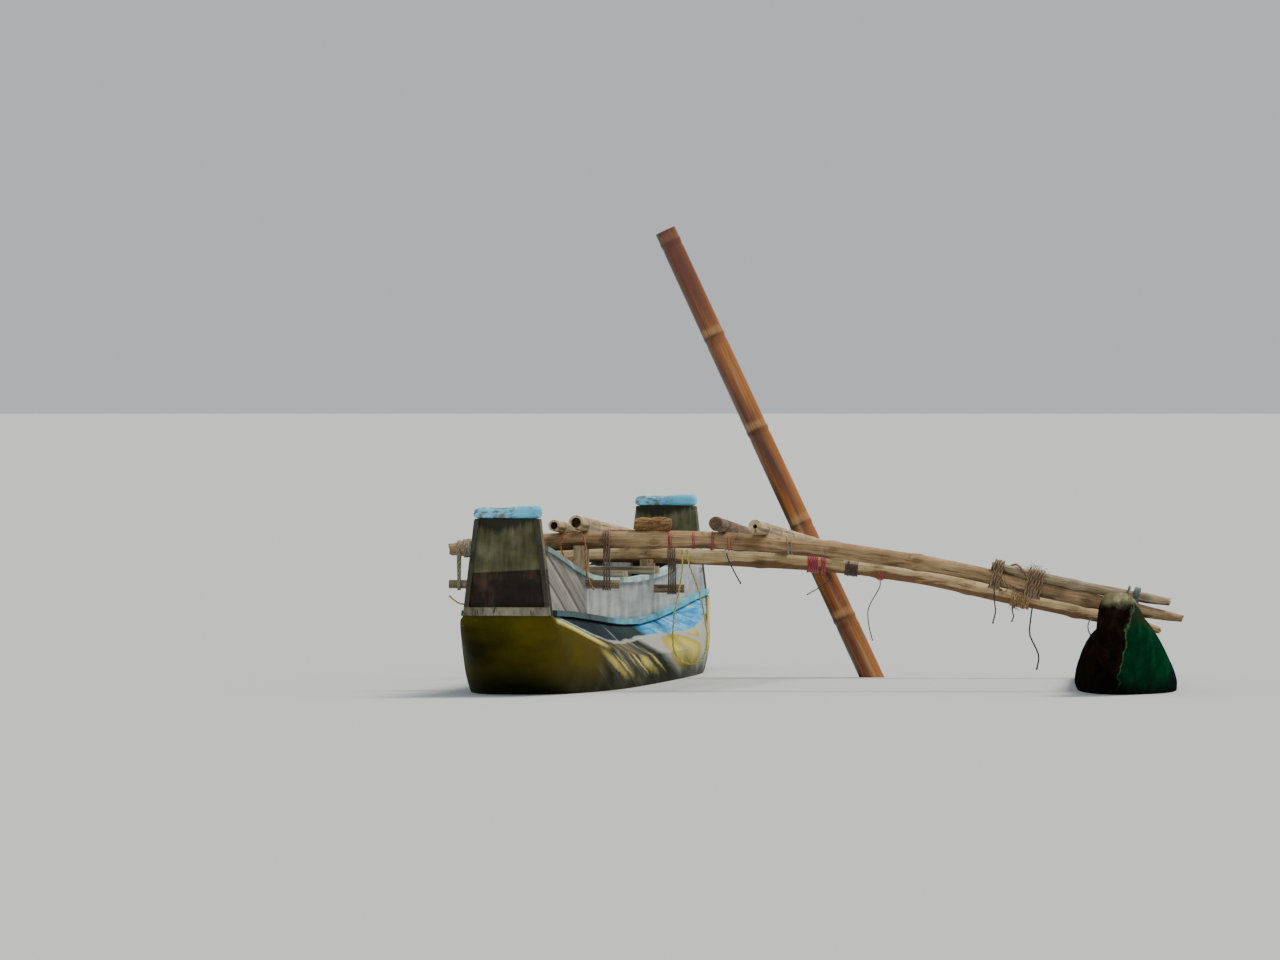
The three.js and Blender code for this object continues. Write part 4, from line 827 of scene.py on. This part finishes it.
HAIR_COUNT = 90           # on each wrap of coir
HAIR_RADII = (0.0006, 0.0005, 0.0003)
for name, boom_index, upper_index, low_x, high_x, diameter, room, look, groups, crossing in WRAPS:
    y, rows = BOOMS[boom_index][1], BOOMS[boom_index][2]
    middle, width = (low_x + high_x) / 2, high_x - low_x
    height, radius = read_boom(rows, middle)
    top, top_radius = read_boom(BOOMS[upper_index][2], middle)
    slope = math.atan2(read_boom(rows, high_x)[0] - read_boom(rows, low_x)[0], width)
    place = Matrix.Translation((middle, y, top)) @ Matrix.Rotation(-slope, 4, "Y")
    wrap = bmesh.new()
    drop = max(top - height, 0.0002)
    wind(wrap, place, top_radius + room, radius + room, drop, width, diameter, groups, crossing,
         lift=CROSSING_LIFT - (room - WRAP_ROOM) / diameter)
    for i in range(HAIR_COUNT if "coir" in look else 0):
        turn, shift = i * 2.4, width * ((i * 0.618) % 1 - 0.5)
        bar, middle_z = (top_radius, 0) if math.sin(turn) > 0 else (radius, -drop)
        reach = bar + room + diameter * 1.4
        root = Vector((shift, reach * math.cos(turn), middle_z + reach * math.sin(turn)))
        lift = Vector((0, math.cos(turn), math.sin(turn))) * (0.003 + 0.006 * ((i * 0.37) % 1))
        swing = Vector((0.02 * math.sin(i * 1.7), -0.012 * math.sin(turn), 0.012 * math.cos(turn)))
        hair = [root - lift * 0.5, root + lift + swing * 0.5, root + lift * 1.2 + swing]
        run_ring(wrap, [place @ point for point in hair], HAIR_RADII, sides=3)
    finish_piece(wrap, name + "_turns", *cord_finishes[look], replaces=[name] if name in nodes else [],
                 sharp_deg=70)


# Twine run. A length of the red twine, 3 mm thick, goes along the top of the front boom from one
# binding to the next. It is pulled straight, and only those bindings hold it.
TWINE_RADIUS = 0.0015
TWINE_RUN = [(.2, .5095), (.25, .5105), (.31, .511), (.36, .5105), (.41, .5095)]
twine = bmesh.new()
path = smooth_path([(x, FRONT_BOOM_Y - 0.006, z) for x, z in TWINE_RUN], 0.004)
run_ring(twine, path, [TWINE_RADIUS] * len(path), sides=8)
finish_piece(twine, "twine_run", *cord_finishes["red"], sharp_deg=70)


# Platform poles. Four poles lie fore and aft on the two booms: three of sun-bleached bamboo, sawn
# through and open at the end, and one solid stick with its dark bark on. Nothing but rope holds them.
BAMBOO_NODE_SPACING = 0.31
BAMBOO_FIRST_NODE = 0.2
BAMBOO_NODE_SWELL = 0.0012
BAMBOO_DRAWN_IN = 0.0008  # how far the skin between nodes lies inside the solid
NODE_LINE = 0.018         # from the dark line of a node to the middle of the pale one above it
STICK_LUMP = 0.003
BORE_DEPTH = 0.09
POLE_GAP = 0.0012
POLE_STEP = 0.012
PLATFORM_POLES = [
    # name, x at the front and rear boom, radius, bore, front and rear end
    ("platform_pole_1", .06, .058, .019, .013, -1.624, .842),
    ("platform_pole_2", .132, .13, .024, .017, -1.64, .79),
    ("platform_pole_3", .575, .582, .023, 0, -1.618, .619),
    ("platform_pole_4", .707, .775, .022, .008, -1.602, .617),
]


def bamboo_cane(name, tones, node_spacing, first_node, scuff, rough=0.5, streak=0.0, band=None):
    """Bamboo: fine straight fibres, a dark line at each node with painted shade under it and a pale line
    above it broken into painted glints, scuffs and long stains.

    Fibres are 290 mm long, with nine of them in a radius round the cane, and stains 450 mm.
    """
    finish, node, shader = new_finish(name, Roughness=rough, Coat_Weight=0.12 * (rough < 0.5),
                                      Coat_Roughness=0.2)
    lay = node("Attribute", out="Vector", attribute_name="lay")
    run = node("Mapping", {"Vector": lay, "Scale": (9, 9, 3.5)})
    fibre = node("TexNoise", {"Vector": run, "Scale": 1.0, "Detail": 9.0, "Roughness": 0.7})
    stain_run = node("Mapping", {"Vector": lay, "Scale": (1.3, 1.3, 2.2)})
    stain = node("TexNoise", {"Vector": stain_run, "Scale": 1.0, "Detail": 4.0})
    tone = node("Math.MULTIPLY_ADD", (fibre, 0.7, stain))
    cane = node("ValToRGB", tone, ramp=list(zip((0.66, 0.79, 0.9, 1.04), tones)))
    from_node = node("Math.SUBTRACT", (node("SeparateXYZ", lay, out="Z"), first_node - node_spacing / 2))
    off = node("Math.SUBTRACT", (node("Math.FLOORED_MODULO", (from_node, node_spacing)), node_spacing / 2))
    ringed = layer(node, cane, node("Math.ABSOLUTE", off), 0.008, 0.003, 0.85, tones[0])
    # Under each node the cane is darkened as painted shade.
    below = node("Math.ABSOLUTE", node("Math.ADD", (off, NODE_LINE)))
    shaded = layer(node, ringed, below, 0.02, 0.008, 0.4, tones[0])
    # Above each node a pale band of the cane's paler skin, broken by the fibres into painted glints.
    above = node("Math.ABSOLUTE", node("Math.SUBTRACT", (off, NODE_LINE)))
    broken = node("MapRange", (fibre, 0.36, 0.6, 0.25))
    pale_band_glints = node("Math.MULTIPLY", (node("MapRange", (above, 0.004, 0.018, 0.85, 0.0)), broken))
    banded = node("Mix", {0: pale_band_glints, 6: shaded, 7: band or tones[3]}, data_type="RGBA")
    scuff_or_highlight = layer(node, banded, stain, 0.62, 0.7, scuff, "b9a98c")
    streaked = layer(node, scuff_or_highlight, stain, 0.42, 0.3, streak, "2b1a0c")
    surface(shader, streaked, fibre, 0.35, 0.001)
    return finish


bleached_bamboo = bamboo_cane("sun_bleached_bamboo", ("5b4a33", "9b8158", "bda379", "d8c6a1"),
                              BAMBOO_NODE_SPACING, BAMBOO_FIRST_NODE, 0.5, rough=0.55, streak=0.5)
bark_stick = weathered_wood("dark_bark_on_stick", ("2a1e15", "54402e", "7c6248", "9d8566"), (4, 4, 14),
                            by_lay=True, checks=0.36)
for name, front_x, rear_x, radius, bore, front_end, rear_end in PLATFORM_POLES:
    supports = []
    for (_, y, rows, _, _), x in ((BOOMS[0], front_x), (BOOMS[2], rear_x)):
        height, boom_radius = read_boom(rows, x)
        supports.append(Vector((x, y, height + boom_radius + radius + POLE_GAP)))
    run = supports[1] - supports[0]
    first, last = (supports[0] + run * (y - FRONT_BOOM_Y) / run.y for y in (front_end, rear_end))
    count = round((last - first).length / POLE_STEP)
    path = [first.lerp(last, i / count) for i in range(count + 1)]
    pole = bmesh.new()
    radii = []
    for point in path:
        half = BAMBOO_NODE_SPACING / 2
        off = ((point - first).length - BAMBOO_FIRST_NODE + half) % BAMBOO_NODE_SPACING - half
        lump = STICK_LUMP * max(0, noise.noise(point * 7))
        swell = BAMBOO_NODE_SWELL * math.exp(-(off / 0.008) ** 2) if bore else lump
        radii.append(radius - BAMBOO_DRAWN_IN + swell)
    run_ring(pole, path, radii, sides=24)
    bmesh.ops.recalc_face_normals(pole, faces=pole.faces)
    if bore:
        caps = [face for face in pole.faces if len(face.verts) > 4]
        bmesh.ops.inset_region(pole, faces=caps, thickness=radius - bore, use_even_offset=True)
        for cap in [face for face in pole.faces if len(face.verts) > 4]:
            inward = -cap.normal * BORE_DEPTH
            made = bmesh.ops.extrude_discrete_faces(pole, faces=[cap])["faces"][0]
            bmesh.ops.translate(pole, verts=made.verts, vec=inward)
    else:
        pole.normal_update()
        roughen(pole, path, 0.0016, (0.5, 0.5), seed=7)
    finish_piece(pole, name + "_cane", bleached_bamboo if bore else bark_stick, "bamboo" if bore else "bark",
                 replaces=[name], sharp_deg=40)


# Cross log. A short piece of branch with thick golden-brown bark lies along the top of the front boom.
# Its ends are broken off short, and it rests there by its own weight.
CROSS_LOG_Y = -1.406
CROSS_LOG = [(.294, .0195), (.318, .0225), (.345, .021), (.37, .0228), (.395, .0215), (.414, .019)]
log_bark = weathered_wood("thick_golden_brown_bark", ("33210f", "6b4c28", "8f6c3c", "b3925c"), (3, 3, 40),
                          by_lay=True, checks=0.4)
path = []
for x, radius in CROSS_LOG:
    height, boom_radius = read_boom(BOOMS[0][2], x)
    path.append((x, CROSS_LOG_Y, height + boom_radius + radius + 2 * POLE_GAP))
path = smooth_path(path, 0.004)
log = bmesh.new()
run_ring(log, path, [read_line(CROSS_LOG, 1, point.x) for point in path], sides=32)
bmesh.ops.recalc_face_normals(log, faces=log.faces)
log.normal_update()
roughen(log, path, 0.004, (0.3, 0.3), seed=2)
finish_piece(log, "cross_log_bark", log_bark, "bark", replaces=["cross_log"])


# Float. One shaped log of light wood rides beside the hull and toes in towards its bow. Its head rises to
# a knob; it is sheathed and painted, brown on the inboard side, bottle green on the other, worn bare on top.
FLOAT_TIP = (1.941, -2.15)
FLOAT_TOE_IN = math.radians(5)
FLOAT_SIDES = 48
FLOAT_BULGES = [
    # metres from the tip, and how square the upper section is on its inboard and outboard side
    (0, 3.6, 3.0), (.11, 3.4, 2.8), (.3, 1.6, 1.65), (.6, 1.6, 1.39), (1.0, 2.3, 1.46), (1.2, 2.4, 1.5),
    (3.18, 2.2, 1.6),
]
FLOAT_MIDDLE_SHARE = 0.46
FLOAT_ROWS = [
    # metres from the tip, sideways shift, top, bottom and half width
    (0, -.043, .3, .226, .046), (.03, -.043, .322, .184, .059), (.11, -.041, .325, .096, .067),
    (.28, -.026, .309, -.02, .095), (.48, -.01, .285, -.098, .134), (.76, -.004, .252, -.14, .156),
    (1.2, -.001, .211, -.158, .162), (1.8, 0, .177, -.165, .161), (2.4, 0, .162, -.16, .154),
    (2.76, 0, .159, -.132, .134), (3.05, 0, .159, -.058, .091), (3.18, 0, .151, .03, .047),
]
HEAD_LENGTH = 0.144       # where the sections lie closer together
HEAD_STEP = 0.006
BODY_STEPS = 76
END_ROUNDING = [(.004, .12), (.0065, .3), (.008, .55), (.0085, .85)]
SEAM_SIDE = 0.036         # across the float, where brown paint meets green; a pale seam runs just beside it
float_place = Matrix.Translation((*FLOAT_TIP, 0)) @ Matrix.Rotation(FLOAT_TOE_IN, 4, "Z")


def float_section(f):
    """The float's egg-shaped section at a distance from its tip, fuller below than above."""
    shift, top, bottom, half = (read_line(FLOAT_ROWS, i, f) for i in range(1, 5))
    middle = bottom + (top - bottom) * FLOAT_MIDDLE_SHARE
    section = []
    for i in range(FLOAT_SIDES):
        turn = i / FLOAT_SIDES * 2 * math.pi
        up, out = math.sin(turn), math.cos(turn)
        power = read_line(FLOAT_BULGES, 1 if out < 0 else 2, f) if up > 0 else 2
        reach = top - middle if up > 0 else middle - bottom
        section.append(float_place @ Vector((
            shift + half * math.copysign(abs(out) ** (2 / power), out), f,
            middle + reach * math.copysign(abs(up) ** (2 / power), up))))
    return section


float_body = bmesh.new()
body_length = FLOAT_ROWS[-1][0] - HEAD_LENGTH
places = [HEAD_STEP * i for i in range(round(HEAD_LENGTH / HEAD_STEP))]
places += [HEAD_LENGTH + body_length * i / BODY_STEPS for i in range(BODY_STEPS + 1)]
sections = [float_section(f) for f in places]
for out, at in ((-1, 0), (1, -1)):
    rim = sections[at]
    middle = sum(rim, Vector()) / len(rim)
    for depth, share in END_ROUNDING:
        closer = [point.lerp(middle, share) + Vector((0, out * depth, 0)) for point in rim]
        sections = [closer] + sections if out < 0 else sections + [closer]
skin(float_body, sections)
bmesh.ops.recalc_face_normals(float_body, faces=float_body.faces)
float_body.normal_update()
for vert in float_body.verts:
    dent = 0.004 * (0.4 + 0.6 * noise.noise(vert.co * 6)) + 0.001 * noise.noise(vert.co * 40)
    vert.co -= vert.normal * dent

float_skin, node, shader = new_finish("worn_enamel_on_sheathed_float", Specular_IOR_Level=0.0)
place = node("TexCoord", out="Object")
turned = node("Mapping", {"Vector": place, "Location": (-FLOAT_TIP[0], -FLOAT_TIP[1], 0)})
own = node("VectorRotate", {"Vector": turned, "Angle": -FLOAT_TOE_IN}, rotation_type="Z_AXIS")
spot = node("SeparateXYZ", own).node.outputs
broad = node("TexNoise", {"Vector": place, "Scale": 8.0, "Detail": 6.0, "Roughness": 0.6})
# Scratches are 125 mm along the float, 38 mm across it and 63 mm high, and broad patches 125 mm wide.
run = node("Mapping", {"Vector": own, "Scale": (26, 8, 16)})
scratch = node("TexNoise", {"Vector": run, "Scale": 1.0, "Detail": 9.0, "Roughness": 0.75})
ragged = node("Math.MULTIPLY_ADD", (broad, 0.1, spot["X"]))
across = node("Math.ADD", (ragged, node("MapRange", (spot["Z"], 0.1, 0.2, SEAM_SIDE, 0.0))))
off_seam = node("Math.ABSOLUTE", node("Math.SUBTRACT", (across, SEAM_SIDE + 0.007)))
aft = node("MapRange", (spot["Y"], 0.1, 1.2, 0.0, 0.115))
worn_height = node("Math.ADD", (node("Math.MULTIPLY_ADD", (broad, 0.12, spot["Z"])), aft))
brown = node("ValToRGB", scratch, ramp=[
    (0.32, "0b0806"), (0.5, "18110b"), (0.66, "291c13"), (0.8, "453324")])
green = node("ValToRGB", scratch, ramp=[
    (0.3, "031f11"), (0.48, "05301b"), (0.64, "0a4326"), (0.8, "2b5f43")])
navy = layer(node, green, ragged, 0.165, 0.185, 0.9, "141c2b")
dull = layer(node, navy, worn_height, 0.275, 0.305, 0.8, "2b2d21")
halves = layer(node, brown, across, SEAM_SIDE, SEAM_SIDE + 0.006, 1.0, dull)
sides = layer(node, halves, off_seam, 0.003, 0.0008, 0.6, "5b6a50")
bare = node("ValToRGB", scratch, ramp=[(0.3, "46442f"), (0.48, "6d6a4e"), (0.64, "99937a")])
worn = node("MapRange", (worn_height, 0.335, 0.365))
painted = node("Mix", {0: worn, 6: sides, 7: bare}, data_type="RGBA")
weed_height = node("Math.MULTIPLY_ADD", (broad, -0.12, spot["Z"]))
weedy = layer(node, painted, weed_height, 0.02, -0.05, 0.8, "10140f")
surface(shader, weedy, scratch, 0.5, 0.003, gloss=node("MapRange", (worn, 0.0, 1.0, 0.45, 0.7)))
finish_piece(float_body, "float_log", float_skin, "float_paint", replaces=["float"], sharp_deg=50)


# Float lashings. Net line passes through a slot cut in the float and over each boom, in a flat band
# of turns. A loose end of it is left over at the rear one.
FLOAT_LASHINGS = [
    # name, boom, upper boom, groups of turns
    ("float_lashing_front", 0, 1, ((-.2, 0, 1), (.45, 1, 4))),
    ("float_lashing_rear", 2, 2, ((-1, -.8, 2), (.5, 1, 4))),
]
FLOAT_LASHING_ROOM = 0.004
FLOAT_LASHING_DROP = 0.096
FLOAT_LASHING_TURN = 0.024
FLOAT_LASHING_WIDTH = 0.074
NET_LINE = 0.0065
SLACK_LINE = [(1.612, .575, .2), (1.6, .566, .19), (1.597, .56, .167), (1.606, .56, .145), (1.63, .57, .125)]
for name, boom_index, upper_index, groups in FLOAT_LASHINGS:
    y, rows = BOOMS[boom_index][1], BOOMS[boom_index][2]
    middle = FLOAT_TIP[0] - (y - FLOAT_TIP[1]) * math.tan(FLOAT_TOE_IN)
    height, radius = read_boom(rows, middle)
    top = read_boom(BOOMS[upper_index][2], middle)[0]
    slope = math.atan2(read_boom(rows, middle + 0.02)[0] - read_boom(rows, middle - 0.02)[0], 0.04)
    foot = height - FLOAT_LASHING_DROP + FLOAT_LASHING_TURN
    lashing = bmesh.new()
    place = Matrix.Translation((middle, y, top)) @ Matrix.Rotation(-slope, 4, "Y")
    wind(lashing, place, radius + FLOAT_LASHING_ROOM, FLOAT_LASHING_TURN, top - foot,
         FLOAT_LASHING_WIDTH, NET_LINE, groups)
    if name.endswith("rear"):
        path = smooth_path(SLACK_LINE, 0.004)
        run_ring(lashing, path, [NET_LINE / 3] * len(path), sides=8)
    finish_piece(lashing, name + "_turns", *cord_finishes["grey"], replaces=[name], sharp_deg=70)


# Steering pole. A stout bamboo cane, varnished golden brown and darkened by hands and water, leans
# over the rear boom. It is held there by a rope ring and can be swung across the canoe.
POLE_PIVOT = Vector((.69, .679, .379))
POLE_LEAN = math.radians(24.95)
POLE_FOOT = -0.8
POLE_TOP = 1.224
POLE_RADIUS = 0.0378      # 0.8 mm more than its solid's, because the photograph shows it stouter
POLE_TAPER = 0.0022
POLE_NODE_TOP = 1.181
POLE_NODE_SPACING = 0.345
POLE_NODE_SWELL = 0.0018
POLE_NODE_DIP = 0.0012    # the cane narrows just above each node
POLE_RING_STEP = 0.006
POLE_BORE = 0.025
POLE_BORE_DEPTH = 0.04

varnished_cane = bamboo_cane("varnished_golden_bamboo", ("46220d", "66330f", "824512", "a9681f"),
                             POLE_NODE_SPACING, (POLE_NODE_TOP - POLE_FOOT) % POLE_NODE_SPACING, 0.35,
                             rough=0.34, streak=0.5, band="b98c52")
up_pole = Vector((-math.sin(POLE_LEAN), 0, math.cos(POLE_LEAN)))
across_pole = Vector((math.cos(POLE_LEAN), 0, math.sin(POLE_LEAN)))
# Under the varnish the sunlit side is painted golden as painted sunlight, the top is dark red from hands,
# and the shaded side is painted near black as painted shade. The sides' edges wander by patches 70 mm wide.
node, shader, varnish = reopen(varnished_cane)
place = node("TexCoord", out="Object")
side = node("VectorMath.DOT_PRODUCT", (place, across_pole))
side_off = node("Math.SUBTRACT", (side, POLE_PIVOT.dot(across_pole)))
mottle = node("TexNoise", {"Vector": place, "Scale": 14.0, "Detail": 3.0})
uneven = node("Math.MULTIPLY_ADD", (mottle, 0.016, side_off))
# Painted sunlight on the side toward the key light, and painted shade along the other edge.
golden = layer(node, varnish, uneven, 0.018, 0.036, 0.5, "a8681c")
handed = layer(node, golden, node("SeparateXYZ", place, out="Z"), 1.12, 1.34, 0.72, "561e0c")
painted_light_edge = layer(node, handed, uneven, -0.014, -0.024, 0.85, "190b05")
varnished_cane.node_tree.links.new(painted_light_edge, shader.inputs["Base Color"])

count = round((POLE_TOP - POLE_FOOT) / POLE_RING_STEP)
heights = [POLE_FOOT + (POLE_TOP - POLE_FOOT) * i / count for i in range(count + 1)]
radii = []
for h in heights:
    off = (POLE_NODE_TOP - h + POLE_NODE_SPACING / 2) % POLE_NODE_SPACING - POLE_NODE_SPACING / 2
    radii.append(POLE_RADIUS - POLE_TAPER * h + POLE_NODE_SWELL * math.exp(-(off / 0.006) ** 2)
                 - POLE_NODE_DIP * math.exp(-((off - NODE_LINE) / 0.007) ** 2))
cane = bmesh.new()
run_ring(cane, [POLE_PIVOT + up_pole * h for h in heights], radii, sides=32)
bmesh.ops.recalc_face_normals(cane, faces=cane.faces)
caps = [face for face in cane.faces if len(face.verts) > 4 and face.calc_center_median().z > POLE_PIVOT.z]
bmesh.ops.inset_region(cane, faces=caps, thickness=radii[-1] - POLE_BORE, use_even_offset=True)
cap = max((face for face in cane.faces if len(face.verts) > 4), key=lambda face: face.calc_center_median().z)
bore_end = bmesh.ops.extrude_discrete_faces(cane, faces=[cap])["faces"][0]
bmesh.ops.translate(cane, verts=bore_end.verts, vec=-up_pole * POLE_BORE_DEPTH)
finish_piece(cane, "steering_cane", varnished_cane, "steering_bamboo", body="pole",
             replaces=["steering_pole"], sharp_deg=40)

# The ring of rope that holds the pole to the rear boom is five turns of twine, and moves with the pole.
RING_RADIUS = 0.0382
RING_WIDTH = 0.03
RING_CORD = 0.0058
ring = bmesh.new()
turned = Matrix.Translation(POLE_PIVOT) @ Matrix.Rotation(math.pi / 2 - POLE_LEAN, 4, "Y").inverted()
wind(ring, turned, RING_RADIUS, RING_RADIUS, 0.0001, RING_WIDTH, RING_CORD, ((-1, 1, 5),))
finish_piece(ring, "pole_grommet_turns", *cord_finishes["red"], body="pole", replaces=["pole_grommet"],
             sharp_deg=70)
